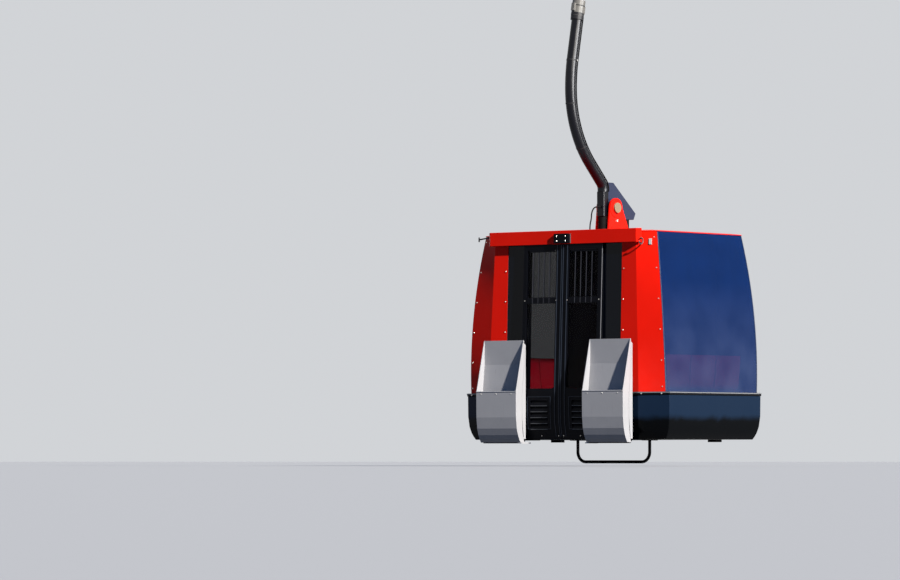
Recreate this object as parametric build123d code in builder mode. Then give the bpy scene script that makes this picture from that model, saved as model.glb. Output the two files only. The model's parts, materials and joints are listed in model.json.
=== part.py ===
"""A cable car cabin on its hanger arm, with the detachable grip that holds the haul rope.

Millimetres. The origin is the centre of the haul rope in the grip's jaws, +X runs along
the rope, the doors face -Y and +Z is up.
"""

import os
from math import cos, radians, sin, sqrt, tan

from build123d import *

os.makedirs("parts", exist_ok=True)

# Clearances that pieces share
seat_gap = 0.3
pin_clearance = 0.05
running_gap = 7

# Heights, from the top of the door header downwards
header_top_z = -2620
header_height = 130
roof_edge_drop = 32
wall_height = 1508
rim_height = 30
skirt_height = 416
floor_thickness = 49

# Plan of the cabin's walls at the roof edge and at the belt
end_half_belt = 1178
end_bow_radius = 8100
end_crease_y_top = 664
end_crease_y_belt = 720
end_crease_bow = 34
side_half_top = 748
side_half_belt = 787
side_crease_x_top = 850
side_crease_x_belt = 912

# Wall panels and glass
panel_thickness = 30
glass_thickness = 8
glass_edge_gap = 3
glazing_flange = 45
corner_fold = 12
side_opening_half = 690
pane_inset = 6
door_half = 430
post_width = 40
post_depth = 45
post_setback = 2
post_foot_setback = 28

# Roof
roof_overhang = 4
roof_lip = 8
roof_hip = 110
roof_skin = 8
roof_rise = 12

# Belt rim and skirt
rim_overhang = 8
rim_width = 110
skirt_overhang_end = 46
skirt_overhang_side = 8
skirt_crease_back = 4
skirt_thickness = 22
skirt_foot_inset = 70
skirt_fullness = 4.5
floor_clearance = 4

# Header and the track inside it
header_wall = 5
header_bevel = 40
header_end_room = 26
header_leaf_room = 8
track_width = 16
track_height = 38
box_width = 176
box_height = 92
box_depth = 22
box_corner = 8
box_drop = 12

# Sliding leaves
leaf_width = 468
leaf_thickness = 22
leaf_half_gap = 2.5
leaf_head_cover = 60
leaf_foot_room = 4
leaf_top_gap = 8
leaf_travel = 390
meeting_stile = 72
outer_stile = 42
sash_head = 110
sash_foot = 40
sash_corner = 22
leaf_glass_thickness = 6
leaf_glass_inset = 10
roller_block = 60
roller_side_room = 1
roller_inset = 94

# Window guard on each leaf
guard_bars = 4
guard_bar = 8
guard_pitch = 67
guard_first_bar = 80
guard_height = 512
guard_rail = 58
guard_setback = 1

# Louvre in each leaf's lower panel
louvre_width = 215
louvre_blades = 5
louvre_pitch = 56
louvre_top_drop = 70
louvre_blade = 5
louvre_proud = 3
louvre_slant = 0.9
louvre_corner = 16

# Ski boxes
ski_box_inner_x = 400
ski_box_width = 488
ski_box_depth = 125
ski_box_back_room = 40
ski_box_back_height = 489
ski_box_foot_drop = 28
ski_fold_drop = 230
ski_fold_lean = 32
ski_box_lip = 8
ski_box_wall = 6
ski_rim_rise = 10
ski_bracket_thickness = 8
ski_bracket_reach = 340
ski_bracket_margin = 30

# Under the floor
hoop_diameter = 30
hoop_half = 437
hoop_drop = 212
hoop_corner = 95
hoop_plate = 110
pad_side = 96
pad_thickness = 24
pad_end_room = 170
pad_y = 340

# Benches and seats
bench_height = 415
bench_depth = 380
bench_kick = 60
bench_half = 600
bench_wall_room = 37
seat_count = 3
seat_width = 380
seat_pitch = 392
seat_shell = 14
seat_nose = 16
seat_back_height = 320
seat_back_lean = 44
seat_bend = 70

# Bracket on the roof and the bolt that carries the cabin
bracket_plate = 18
bracket_width = 420
bracket_margin = 110
bracket_corner = 35
pivot_y = -62
pivot_height = 232
bolt_diameter = 44
bolt_head = 100
bolt_head_thickness = 22
cheek_half_gap = 66
cheek_thickness = 16
cheek_eye_radius = 94
cheek_boss = 4
cheek_near_foot = 119
cheek_far_foot = 209
cheek_shoulder = 12

# Hanger arm
tube_diameter = 100
arm_foot_y = -166
arm_foot_height = 150
arm_foot_run = 256
foot_half = 43
foot_corner = 14
foot_stub = 20
foot_bend_radius = 90
arm_slope_run = 297
arm_bow_radius = 990
arm_upper_radius = 1500
arm_lean = 11.2
collar_z = -566
collar_length = 150
collar_wall = 12
collar_ear = 36
gusset_half = 24
gusset_depth = 346
gusset_top_run = 86
gusset_reach = 432
gusset_nose = 62
gusset_heel = 30
gusset_throat = 176
far_buffer_y = 190
foot_buffer_diameter = 80
far_buffer_diameter = 68

# Head of the hanger
head_eye_radius = 72
head_eye_half = 80
head_neck_width = 88
head_neck_depth = 104

# Cables: one clipped along the arm, one hanging from its foot to the roof
cable_diameter = 13
arm_cable_gap = 1
arm_cable_angle = 41
gland_diameter = 24
gland_length = 20

# Grip
rope_radius = 20
jaw_length = 240
jaw_wall = 34
jaw_gap = 8
jaw_shoulder = 40
jaw_crown = 30
body_room = 30
body_top_z = 96
body_shoulder_y = -40
body_throat_y = -120
body_heel_y = -190
body_foot_z = -60
jaw_hinge_y = -150
jaw_hinge_z = -92
jaw_pin_radius = 14
jaw_pin_end = 8
lug_gap = 6
lug_thickness = 20
lug_width = 120
lever_width = 60
lever_reach = 150
lever_drop = 68
lever_roller_radius = 30
spring_cup_radius = 34
spring_cup_height = 64
spring_cup_spacing = 110
hanger_pin_radius = 30
pin_collar = 22
pin_collar_length = 24
wheel_radius = 105
wheel_width = 50
wheel_y = -100
wheel_clearance = 25
wheel_side_room = 8
wheel_axle_radius = 20
wheel_bracket_y = -170
wheel_bracket_thickness = 30
wheel_bracket_half = 70


def finish(part, name):
    """Label a finished piece and write it out."""
    part.label = name
    export_step(part, f"parts/{name}.step")


def plan_face(z, points):
    """A closed plan outline at one height, as a face."""
    with BuildSketch(Plane.XY.offset(z)) as plan:
        with BuildLine():
            Polyline(*points, close=True)
        make_face()
    return plan.sketch.face()


def ring_of_corners(side_x, side_y, end_x, end_y):
    """The eight corners of a symmetric plan, from its side crease and its end crease."""
    quarter = [(side_x, side_y), (end_x, end_y)]
    return (
        [(x, -y) for x, y in quarter]
        + [(x, y) for x, y in quarter[::-1]]
        + [(-x, y) for x, y in quarter]
        + [(-x, -y) for x, y in quarter[::-1]]
    )


header_bottom_z = header_top_z - header_height
roof_edge_z = header_top_z - roof_edge_drop
belt_z = roof_edge_z - wall_height
rim_bottom_z = belt_z - rim_height
skirt_top_z = rim_bottom_z - seat_gap
skirt_bottom_z = rim_bottom_z - skirt_height
floor_top_z = skirt_bottom_z + floor_thickness


def end_face_x(z, depth):
    """Half-length of the bowed end at one height, a depth behind its outer face."""
    return end_half_belt - end_bow_radius + sqrt((end_bow_radius - depth) ** 2 - (z - belt_z) ** 2)


def wall_plan(z):
    """Half-length at the end face, its crease, half-width at the side face, its crease."""
    rise = (z - belt_z) / wall_height
    end_half = end_face_x(z, 0)
    end_crease = end_crease_y_belt + rise * (end_crease_y_top - end_crease_y_belt)
    end_crease += 4 * end_crease_bow * rise * (1 - rise)
    side_half = side_half_belt + rise * (side_half_top - side_half_belt)
    side_crease = side_crease_x_belt + rise * (side_crease_x_top - side_crease_x_belt)
    return end_half, end_crease, side_half, side_crease


wall_top_z = roof_edge_z - seat_gap
wall_bottom_z = belt_z + seat_gap
wall_sections = 3
wall_levels = [
    wall_top_z + i * (wall_bottom_z - wall_top_z) / (wall_sections - 1) for i in range(wall_sections)
]

# Corners of the body. Each is one folded panel: a strip of the side face, the slanted corner
# face and a flange behind the edge of the end glass.
corners = [
    # name, side along X, side along Y
    ("door_side_right", 1, -1),
    ("door_side_left", -1, -1),
    ("back_side_right", 1, 1),
    ("back_side_left", -1, 1),
]


def corner_plan(z):
    """Outline of the corner panel at one height, in the quarter where X and Y are positive."""
    end_half, end_crease, side_half, side_crease = wall_plan(z)
    flange_x = end_face_x(z, glass_thickness + seat_gap)
    return [
        (side_opening_half, side_half),
        (side_crease, side_half),
        (end_half, end_crease),
        (flange_x, end_crease),
        (flange_x, end_crease - glazing_flange),
        (flange_x - panel_thickness, end_crease - glazing_flange),
        (flange_x - panel_thickness, end_crease - corner_fold),
        (side_crease - corner_fold / 2, side_half - panel_thickness),
        (side_opening_half, side_half - panel_thickness),
    ]


for name, side_x, side_y in corners:
    with BuildPart() as corner_panel:
        loft([plan_face(z, [(side_x * x, side_y * y) for x, y in corner_plan(z)]) for z in wall_levels])
    finish(corner_panel.part, f"corner_panel_{name}")

# End windows: each one bent sheet, a slice of a large cylinder trimmed along the two creases.
for name, side_x in (("right", 1), ("left", -1)):
    with BuildPart() as end_window:
        with BuildSketch(Plane.XZ.offset(-2 * end_crease_y_belt)):
            with Locations((side_x * (end_half_belt - end_bow_radius), belt_z)):
                Circle(end_bow_radius)
                Circle(end_bow_radius - glass_thickness, mode=Mode.SUBTRACT)
            with Locations((side_x * end_half_belt, (wall_top_z + wall_bottom_z) / 2)):
                Rectangle(end_half_belt, wall_top_z - wall_bottom_z, mode=Mode.INTERSECT)
        extrude(amount=4 * end_crease_y_belt)
        with BuildSketch(Plane.YZ):
            with BuildLine():
                edge_levels = (roof_edge_z, (roof_edge_z + belt_z) / 2, belt_z)
                edge = [(wall_plan(z)[1] - glass_edge_gap, z) for z in edge_levels]
                ThreePointArc(*edge)
                Line(edge[2], (-edge[2][0], belt_z))
                ThreePointArc(*[(-y, z) for y, z in edge[::-1]])
                Line((-edge[0][0], roof_edge_z), edge[0])
            make_face()
        extrude(amount=side_x * 2 * end_half_belt, mode=Mode.INTERSECT)
    finish(end_window.part, f"end_window_{name}")

# Fixed panes: a narrow one each side of the door and one wide one at the back.
post_outer_x = door_half + post_width


def pane_face(z, first_x, last_x, side_y):
    face = side_y * (wall_plan(z)[2] - pane_inset)
    back = face - side_y * glass_thickness
    return plan_face(z, [(first_x, face), (last_x, face), (last_x, back), (first_x, back)])


pane_ends_z = [wall_top_z, wall_bottom_z]
for name, side_x in (("right", 1), ("left", -1)):
    first_x = side_x * (post_outer_x + seat_gap)
    last_x = side_x * (side_opening_half - seat_gap)
    with BuildPart() as side_pane:
        loft([pane_face(z, first_x, last_x, -1) for z in pane_ends_z], ruled=True)
    finish(side_pane.part, f"side_pane_{name}")

with BuildPart() as back_window:
    pane_half = side_opening_half - seat_gap
    loft([pane_face(z, -pane_half, pane_half, 1) for z in pane_ends_z], ruled=True)
finish(back_window.part, "back_window")

# Skirt: its face moves in with its depth below the rim, slowly at first and then quickly. The
# leaves and the ski boxes follow the same curve.
skirt_shares = (0, 0.46, 0.7, 0.84, 0.93, 1)


def curve_levels(foot_z):
    """Heights from under the rim down to a foot, each with how far the face has moved in."""
    return [
        (skirt_top_z + share * (foot_z - skirt_top_z), skirt_foot_inset * share**skirt_fullness)
        for share in skirt_shares
    ]


skirt_levels = curve_levels(skirt_bottom_z)
skirt_side_half = side_half_belt + skirt_overhang_side
skirt_end_half = end_half_belt + skirt_overhang_end
skirt_crease_y = end_crease_y_belt - skirt_crease_back


def skirt_plan(inset):
    """Plan of the skirt, moved in by an inset."""
    return ring_of_corners(
        side_crease_x_belt - inset / 2,
        skirt_side_half - inset,
        skirt_end_half - inset,
        skirt_crease_y - inset / 2,
    )


skirt_pieces = [
    # name, first x, last x, first y
    ("skirt_right_end", post_outer_x + seat_gap, 2 * end_half_belt, -2 * side_half_belt),
    ("skirt_left_end", -2 * end_half_belt, -post_outer_x - seat_gap, -2 * side_half_belt),
    ("skirt_back", -post_outer_x, post_outer_x, 0),
]
for name, first_x, last_x, first_y in skirt_pieces:
    with BuildPart() as skirt:
        loft([plan_face(z, skirt_plan(inset)) for z, inset in skirt_levels], ruled=True)
        loft(
            [plan_face(z, skirt_plan(inset + skirt_thickness)) for z, inset in skirt_levels],
            ruled=True,
            mode=Mode.SUBTRACT,
        )
        with BuildSketch(Plane.XY.offset(skirt_bottom_z)):
            with Locations(((first_x + last_x) / 2, first_y)):
                Rectangle(last_x - first_x, 2 * side_half_belt - first_y, align=(Align.CENTER, Align.MIN))
        extrude(amount=skirt_height, mode=Mode.INTERSECT)
    finish(skirt.part, name)

# Belt rim: a flat rail round the body under the windows, open at the door.
with BuildPart() as belt_rim:
    with BuildSketch(Plane.XY.offset(rim_bottom_z)):
        with BuildLine():
            Polyline(*skirt_plan(-rim_overhang), close=True)
        make_face()
        with BuildLine():
            Polyline(*skirt_plan(rim_width - rim_overhang), close=True)
        make_face(mode=Mode.SUBTRACT)
        with Locations((0, -skirt_side_half)):
            Rectangle(2 * (post_outer_x + seat_gap), 4 * rim_width, mode=Mode.SUBTRACT)
    extrude(amount=rim_height)
finish(belt_rim.part, "belt_rim")

# Floor pan inside the skirt, and the door sill in front of it.
floor_edge = skirt_thickness + skirt_foot_inset + floor_clearance
with BuildPart() as floor_pan:
    with BuildSketch(Plane.XY.offset(skirt_bottom_z)):
        with BuildLine():
            Polyline(*skirt_plan(floor_edge), close=True)
        make_face()
    extrude(amount=floor_thickness)
finish(floor_pan.part, "floor_pan")

sill_back_y = skirt_side_half - floor_edge + seat_gap
sill_front_y = side_half_belt - post_setback - post_foot_setback
with BuildPart() as door_sill:
    with BuildSketch(Plane.XY.offset(skirt_bottom_z)):
        with Locations((0, -sill_back_y)):
            Rectangle(2 * post_outer_x, sill_front_y - sill_back_y, align=(Align.CENTER, Align.MAX))
    extrude(amount=floor_thickness)
finish(door_sill.part, "door_sill")

# Door posts, from the sill to the roof. They bend in behind the feet of the leaves.
post_levels = [
    # z, setback from the wall's face
    (wall_top_z, post_setback),
    (belt_z, post_setback),
    (skirt_levels[1][0], post_setback),
    (floor_top_z + seat_gap, post_setback + post_foot_setback),
]
for name, side_x in (("right", 1), ("left", -1)):
    outer = side_x * post_outer_x
    inner = side_x * door_half
    post_faces = []
    for z, setback in post_levels:
        front = -wall_plan(max(z, belt_z))[2] + setback
        back = front + post_depth
        post_faces.append(plan_face(z, [(outer, front), (inner, front), (inner, back), (outer, back)]))
    with BuildPart() as door_post:
        loft(post_faces, ruled=True)
    finish(door_post.part, f"door_post_{name}")

# Roof: a shallow hipped cover with an upright lip, hollow below.


def roof_plan(inset):
    end_half, end_crease, side_half, side_crease = wall_plan(roof_edge_z)
    reach = roof_overhang - inset
    return ring_of_corners(
        side_crease + reach / 2,
        side_half + reach,
        end_half + reach,
        end_crease + reach / 2,
    )


roof_crown_z = roof_edge_z + roof_lip + roof_rise
with BuildPart() as roof_panel:
    with BuildSketch(Plane.XY.offset(roof_edge_z)):
        with BuildLine():
            Polyline(*roof_plan(0), close=True)
        make_face()
    extrude(amount=roof_lip)
    loft(
        [
            plan_face(roof_edge_z + roof_lip, roof_plan(0)),
            plan_face(roof_crown_z, roof_plan(roof_hip)),
        ],
        ruled=True,
    )
    loft(
        [
            plan_face(roof_edge_z, roof_plan(panel_thickness + glazing_flange / 3)),
            plan_face(roof_crown_z - roof_skin, roof_plan(roof_hip + roof_skin)),
        ],
        ruled=True,
        mode=Mode.SUBTRACT,
    )
finish(roof_panel.part, "roof_panel")

# Header: the red casing over the doors, a C section with bevelled ends, hung on the roof's lip.
leaf_top_y = side_half_top + leaf_top_gap + leaf_thickness
leaf_belt_y = skirt_side_half + rim_overhang + running_gap + leaf_thickness
header_half = leaf_half_gap + leaf_width + leaf_travel + header_end_room
header_front_y = leaf_top_y + header_leaf_room + header_wall
header_back_y = side_half_top + roof_overhang + seat_gap
with BuildPart() as door_header:
    with BuildSketch(Plane.XY.offset(header_bottom_z)):
        with BuildLine():
            Polyline(
                (-header_half, -header_front_y),
                (header_half, -header_front_y),
                (header_half + header_bevel, -header_back_y),
                (-header_half - header_bevel, -header_back_y),
                close=True,
            )
        make_face()
    extrude(amount=header_height)
    with BuildSketch(Plane.XY.offset(header_bottom_z)):
        with Locations((0, -header_back_y)):
            Rectangle(
                2 * (header_half - header_wall),
                2 * (header_front_y - header_wall - header_back_y),
            )
    extrude(amount=header_height - header_wall, mode=Mode.SUBTRACT)
    with BuildSketch(Plane.XY.offset(roof_edge_z)):
        with Locations((0, -header_back_y)):
            Rectangle(2 * header_half, header_wall, align=(Align.CENTER, Align.MAX))
    extrude(amount=roof_edge_drop)
finish(door_header.part, "door_header")

with BuildPart() as header_box:
    with BuildSketch(Plane.XZ.offset(header_front_y + seat_gap)):
        with Locations((0, header_top_z - header_height / 2 - box_drop)):
            RectangleRounded(box_width, box_height, box_corner)
    extrude(amount=box_depth)
finish(header_box.part, "header_box")

track_y = leaf_top_y - leaf_thickness / 2
track_top_z = header_top_z - header_wall - seat_gap
with BuildPart() as door_track:
    with BuildSketch(Plane.XY.offset(track_top_z - track_height)):
        with Locations((0, -track_y)):
            Rectangle(2 * (header_half - header_wall - seat_gap), track_width)
    extrude(amount=track_height)
finish(door_track.part, "door_track")

# Leaves: each one pressed frame that leans with the wall and curves in with the skirt. The
# table gives the outer face as (y, z), from the top to the foot.
leaf_top_z = header_bottom_z + leaf_head_cover
leaf_foot_z = skirt_bottom_z + leaf_foot_room
leaf_follow = 0.55
leaf_face = [(leaf_top_y, leaf_top_z), (leaf_belt_y, belt_z)] + [
    (leaf_belt_y - leaf_follow * inset, max(z, leaf_foot_z)) for z, inset in skirt_levels
]


def leaf_line(depth):
    """The leaf's side view, a depth behind its outer face, as (y, z) from the top down."""
    return [(-(y - depth), z) for y, z in leaf_face]


def leaf_y(z, depth):
    """The y of the leaf at a height, a depth behind its outer face."""
    for (y1, z1), (y2, z2) in zip(leaf_face, leaf_face[1:]):
        if z1 >= z >= z2:
            return -(y1 + (y2 - y1) * (z1 - z) / (z1 - z2) - depth)
    return -(leaf_face[-1][0] - depth)


sash_top_z = leaf_top_z - sash_head
sash_bottom_z = belt_z + sash_foot
guard_foot_z = sash_top_z - guard_height
for name, side_x in (("right", 1), ("left", -1)):
    near_x = side_x * leaf_half_gap
    far_x = side_x * (leaf_half_gap + leaf_width)
    sash_near_x = near_x + side_x * meeting_stile
    sash_far_x = far_x - side_x * outer_stile
    louvre_x = (sash_near_x + sash_far_x) / 2
    louvre_top_z = skirt_top_z - louvre_top_drop + louvre_pitch / 2
    louvre_foot_z = louvre_top_z - louvre_blades * louvre_pitch
    with BuildPart() as door_leaf:
        with BuildSketch(Plane.YZ.offset(near_x)):
            with BuildLine():
                Polyline(*leaf_line(0), *leaf_line(leaf_thickness)[::-1], close=True)
            make_face()
        extrude(amount=side_x * leaf_width)
        with BuildSketch(Plane.XZ):
            with Locations(((sash_near_x + sash_far_x) / 2, (sash_top_z + sash_bottom_z) / 2)):
                RectangleRounded(abs(sash_far_x - sash_near_x), sash_top_z - sash_bottom_z, sash_corner)
            with Locations((louvre_x, (louvre_top_z + louvre_foot_z) / 2)):
                RectangleRounded(louvre_width, louvre_top_z - louvre_foot_z, louvre_corner)
        extrude(amount=2 * leaf_belt_y, mode=Mode.SUBTRACT)
        for i in range(louvre_blades):
            blade_z = louvre_top_z - (i + 0.5) * louvre_pitch
            outer_y = leaf_y(blade_z, -louvre_proud)
            inner_y = leaf_y(blade_z, leaf_thickness - louvre_proud)
            slant = louvre_slant * louvre_pitch / 2
            with BuildSketch(Plane.YZ.offset(louvre_x - louvre_width / 2)):
                with BuildLine():
                    Polyline(
                        (outer_y, blade_z - slant),
                        (outer_y, blade_z - slant - louvre_blade),
                        (inner_y, blade_z + slant - louvre_blade),
                        (inner_y, blade_z + slant),
                        close=True,
                    )
                make_face()
            extrude(amount=louvre_width)
        with BuildSketch(Plane.XY.offset(leaf_top_z)):
            with Locations(
                (near_x + side_x * roller_inset, -track_y),
                (far_x - side_x * roller_inset, -track_y),
            ):
                Rectangle(roller_block, track_width - 2 * roller_side_room)
        extrude(amount=track_top_z - track_height - 2 * seat_gap - leaf_top_z)
    finish(door_leaf.part, f"door_leaf_{name}")

    with BuildPart() as door_glass:
        glass_line = leaf_line(leaf_glass_inset)[:2]
        glass_back = leaf_line(leaf_glass_inset + leaf_glass_thickness)[:2]
        with BuildSketch(Plane.YZ.offset(sash_near_x)):
            with BuildLine():
                Polyline(*glass_line, *glass_back[::-1], close=True)
            make_face()
        extrude(amount=sash_far_x - sash_near_x)
        with BuildSketch(Plane.XZ):
            with Locations(((sash_near_x + sash_far_x) / 2, (sash_top_z + sash_bottom_z) / 2)):
                RectangleRounded(
                    abs(sash_far_x - sash_near_x) - 2 * seat_gap,
                    sash_top_z - sash_bottom_z - 2 * seat_gap,
                    sash_corner,
                )
        extrude(amount=2 * leaf_belt_y, mode=Mode.INTERSECT)
    finish(door_glass.part, f"door_glass_{name}")

    # Bars and rails of the grille: (x, width, top z, foot z)
    grille_width = abs(sash_far_x - sash_near_x) - 2 * seat_gap
    head_rail_z = sash_top_z - sash_corner
    foot_rail_z = guard_foot_z + guard_rail
    grille_rods = [
        (louvre_x, grille_width - 2 * sash_corner, sash_top_z - seat_gap, head_rail_z),
        (louvre_x, grille_width, foot_rail_z, guard_foot_z),
    ]
    for i in range(guard_bars):
        bar_x = near_x + side_x * (meeting_stile + guard_first_bar + i * guard_pitch)
        grille_rods.append((bar_x, guard_bar, head_rail_z, foot_rail_z))
    with BuildPart() as door_grille:
        for rod_x, rod_width, rod_top_z, rod_foot_z in grille_rods:
            with BuildSketch(Plane.YZ.offset(rod_x - rod_width / 2)):
                with BuildLine():
                    Polyline(
                        (leaf_y(rod_top_z, guard_setback), rod_top_z),
                        (leaf_y(rod_foot_z, guard_setback), rod_foot_z),
                        (leaf_y(rod_foot_z, guard_setback + guard_bar), rod_foot_z),
                        (leaf_y(rod_top_z, guard_setback + guard_bar), rod_top_z),
                        close=True,
                    )
                make_face()
            extrude(amount=rod_width)
    finish(door_grille.part, f"door_grille_{name}")

# Ski boxes: folded sheet pockets, open at the top, on brackets under the floor.
ski_box_back_y = leaf_belt_y + ski_box_back_room
ski_box_front_y = ski_box_back_y + ski_box_depth
ski_rim_z = belt_z + ski_rim_rise
ski_top_z = ski_rim_z + ski_box_back_height
ski_fold_z = ski_top_z - ski_fold_drop
ski_bottom_z = skirt_bottom_z - ski_box_foot_drop
ski_levels = curve_levels(ski_bottom_z)
ski_front = [(ski_box_front_y, ski_rim_z)] + [(ski_box_front_y - inset, z) for z, inset in ski_levels]
ski_back = [(ski_box_back_y + ski_fold_lean - inset / 2, z) for z, inset in ski_levels]
ski_outline = (
    [(-ski_box_back_y, ski_top_z), (-ski_box_back_y - ski_box_lip, ski_top_z)]
    + [(-y, z) for y, z in ski_front]
    + [(-y, z) for y, z in ski_back[::-1]]
    + [(-ski_box_back_y, ski_fold_z)]
)
ski_pocket = (
    [
        (-ski_box_back_y - ski_box_wall, ski_top_z + ski_box_depth),
        (-ski_box_front_y - ski_box_depth, ski_top_z + ski_box_depth),
        (-ski_box_front_y - ski_box_depth, ski_rim_z),
    ]
    + [(-y + ski_box_wall, z) for y, z in ski_front[:-1]]
    + [
        (-ski_front[-1][0], ski_bottom_z + 2 * ski_box_wall),
        (-ski_back[-1][0] - ski_box_wall, ski_bottom_z + 2 * ski_box_wall),
    ]
    + [(-y - ski_box_wall, z) for y, z in ski_back[:-1][::-1]]
    + [(-ski_box_back_y - ski_box_wall, ski_fold_z)]
)
for name, side_x in (("right", 1), ("left", -1)):
    with BuildPart() as ski_box:
        with BuildSketch(Plane.YZ.offset(side_x * ski_box_inner_x)):
            with BuildLine():
                Polyline(*ski_outline, close=True)
            make_face()
        extrude(amount=side_x * ski_box_width)
        with BuildSketch(Plane.YZ.offset(side_x * (ski_box_inner_x + ski_box_wall))):
            with BuildLine():
                Polyline(*ski_pocket, close=True)
            make_face()
        extrude(amount=side_x * (ski_box_width - 2 * ski_box_wall), mode=Mode.SUBTRACT)
    finish(ski_box.part, f"ski_box_{name}")

# Their brackets: bent plates that lie under the floor and step down to carry the boxes.
ski_box_middle_x = ski_box_inner_x + ski_box_width / 2
ski_bracket_width = ski_box_width - 2 * ski_bracket_margin
ski_bracket_top = [
    (-ski_front[-1][0], ski_bottom_z - seat_gap),
    (-ski_back[-1][0] + ski_box_foot_drop, ski_bottom_z - seat_gap),
    (-ski_back[-1][0] + 2 * ski_box_foot_drop, skirt_bottom_z - seat_gap),
    (-ski_front[-1][0] + ski_bracket_reach, skirt_bottom_z - seat_gap),
]
ski_bracket_line = ski_bracket_top + [(y, z - ski_bracket_thickness) for y, z in ski_bracket_top[::-1]]
with BuildPart() as ski_box_brackets:
    with BuildSketch(Plane.YZ.offset(-ski_box_middle_x - ski_bracket_width / 2)):
        with BuildLine():
            Polyline(*ski_bracket_line, close=True)
        make_face()
    extrude(amount=ski_bracket_width)
    mirror(about=Plane.YZ)
finish(ski_box_brackets.part, "ski_box_brackets")

# Guide hoop and rest pads under the floor.
under_z = skirt_bottom_z - seat_gap
hoop_low_z = under_z - hoop_drop
with BuildPart() as guide_hoop:
    with BuildLine():
        FilletPolyline(
            (-hoop_half, 0, under_z),
            (-hoop_half, 0, hoop_low_z),
            (hoop_half, 0, hoop_low_z),
            (hoop_half, 0, under_z),
            radius=hoop_corner,
        )
    with BuildSketch(Plane(origin=(-hoop_half, 0, under_z), z_dir=(0, 0, -1))):
        Circle(hoop_diameter / 2)
    sweep()
    with BuildSketch(Plane.XY.offset(under_z)):
        with Locations((-hoop_half, 0), (hoop_half, 0)):
            Rectangle(hoop_plate, hoop_plate)
    extrude(amount=-ski_bracket_thickness)
finish(guide_hoop.part, "guide_hoop")

pad_x = skirt_end_half - floor_edge - pad_end_room
with BuildPart() as rest_pads:
    with BuildSketch(Plane.XY.offset(under_z)):
        with Locations((pad_x, pad_y), (-pad_x, pad_y)):
            Rectangle(pad_side, pad_side)
    extrude(amount=-pad_thickness)
finish(rest_pads.part, "rest_pads")

# Benches across the two ends, with moulded seats on them.
bench_back_x = skirt_end_half - skirt_foot_inset - skirt_thickness - bench_wall_room
bench_front_x = bench_back_x - bench_depth
bench_top_z = floor_top_z + seat_gap + bench_height
seat_line_z = bench_top_z + seat_gap + seat_shell / 2
for name, side_x in (("right", 1), ("left", -1)):
    with BuildPart() as bench:
        with BuildSketch(Plane.XZ.offset(-bench_half)):
            with BuildLine():
                Polyline(
                    (side_x * bench_back_x, floor_top_z + seat_gap),
                    (side_x * (bench_front_x + bench_kick), floor_top_z + seat_gap),
                    (side_x * bench_front_x, bench_top_z),
                    (side_x * bench_back_x, bench_top_z),
                    close=True,
                )
            make_face()
        extrude(amount=2 * bench_half)
    finish(bench.part, f"bench_{name}")

    with BuildPart() as seats:
        for i in range(seat_count):
            seat_y = (i - (seat_count - 1) / 2) * seat_pitch
            with BuildSketch(Plane.XZ.offset(-seat_y - seat_width / 2)):
                with BuildLine():
                    FilletPolyline(
                        (side_x * (bench_front_x - seat_nose), seat_line_z),
                        (side_x * (bench_back_x - seat_back_lean), seat_line_z),
                        (side_x * (bench_back_x - seat_shell), seat_line_z + seat_back_height),
                        radius=seat_bend,
                    )
                    offset(amount=seat_shell / 2)
                make_face()
            extrude(amount=seat_width)
    finish(seats.part, f"seats_{name}")

# Bracket on the roof: a base plate and two upright cheeks for the pivot bolt.
bracket_top_z = roof_crown_z + seat_gap + bracket_plate
pivot_z = bracket_top_z + pivot_height
bracket_low_y = arm_foot_y - foot_buffer_diameter / 2 - bracket_margin
bracket_high_y = far_buffer_y + far_buffer_diameter / 2 + bracket_margin / 2
with BuildPart() as roof_bracket:
    with BuildSketch(Plane.XY.offset(roof_crown_z + seat_gap)):
        with Locations((0, (bracket_low_y + bracket_high_y) / 2)):
            RectangleRounded(bracket_width, bracket_high_y - bracket_low_y, bracket_corner)
    extrude(amount=bracket_plate)
    for side in (1, -1):
        with BuildSketch(Plane.YZ.offset(side * cheek_half_gap)):
            with BuildLine():
                Polyline(
                    (pivot_y - cheek_near_foot, bracket_top_z),
                    (pivot_y - cheek_eye_radius, pivot_z + cheek_shoulder),
                    (pivot_y + cheek_eye_radius, pivot_z + cheek_shoulder),
                    (pivot_y + cheek_far_foot, bracket_top_z),
                    close=True,
                )
            make_face()
            with Locations((pivot_y, pivot_z)):
                Circle(cheek_eye_radius)
                Circle(bolt_diameter / 2 + seat_gap, mode=Mode.SUBTRACT)
        extrude(amount=side * cheek_thickness)
        cheek_face_x = side * (cheek_half_gap + cheek_thickness)
        with BuildSketch(Plane.YZ.offset(cheek_face_x)):
            with Locations((pivot_y, pivot_z)):
                Circle(cheek_eye_radius)
                Circle(bolt_diameter / 2 + seat_gap, mode=Mode.SUBTRACT)
        extrude(amount=side * cheek_boss)
finish(roof_bracket.part, "roof_bracket")

bolt_half = cheek_half_gap + cheek_thickness + cheek_boss + seat_gap
with BuildPart() as pivot_bolt:
    with BuildSketch(Plane.YZ.offset(-bolt_half)):
        with Locations((pivot_y, pivot_z)):
            Circle(bolt_diameter / 2)
    extrude(amount=2 * bolt_half)
    for side in (1, -1):
        with BuildSketch(Plane.YZ.offset(side * bolt_half)):
            with Locations((pivot_y, pivot_z)):
                Circle(bolt_head / 2)
        extrude(amount=side * bolt_head_thickness)
finish(pivot_bolt.part, "pivot_bolt")

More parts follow.
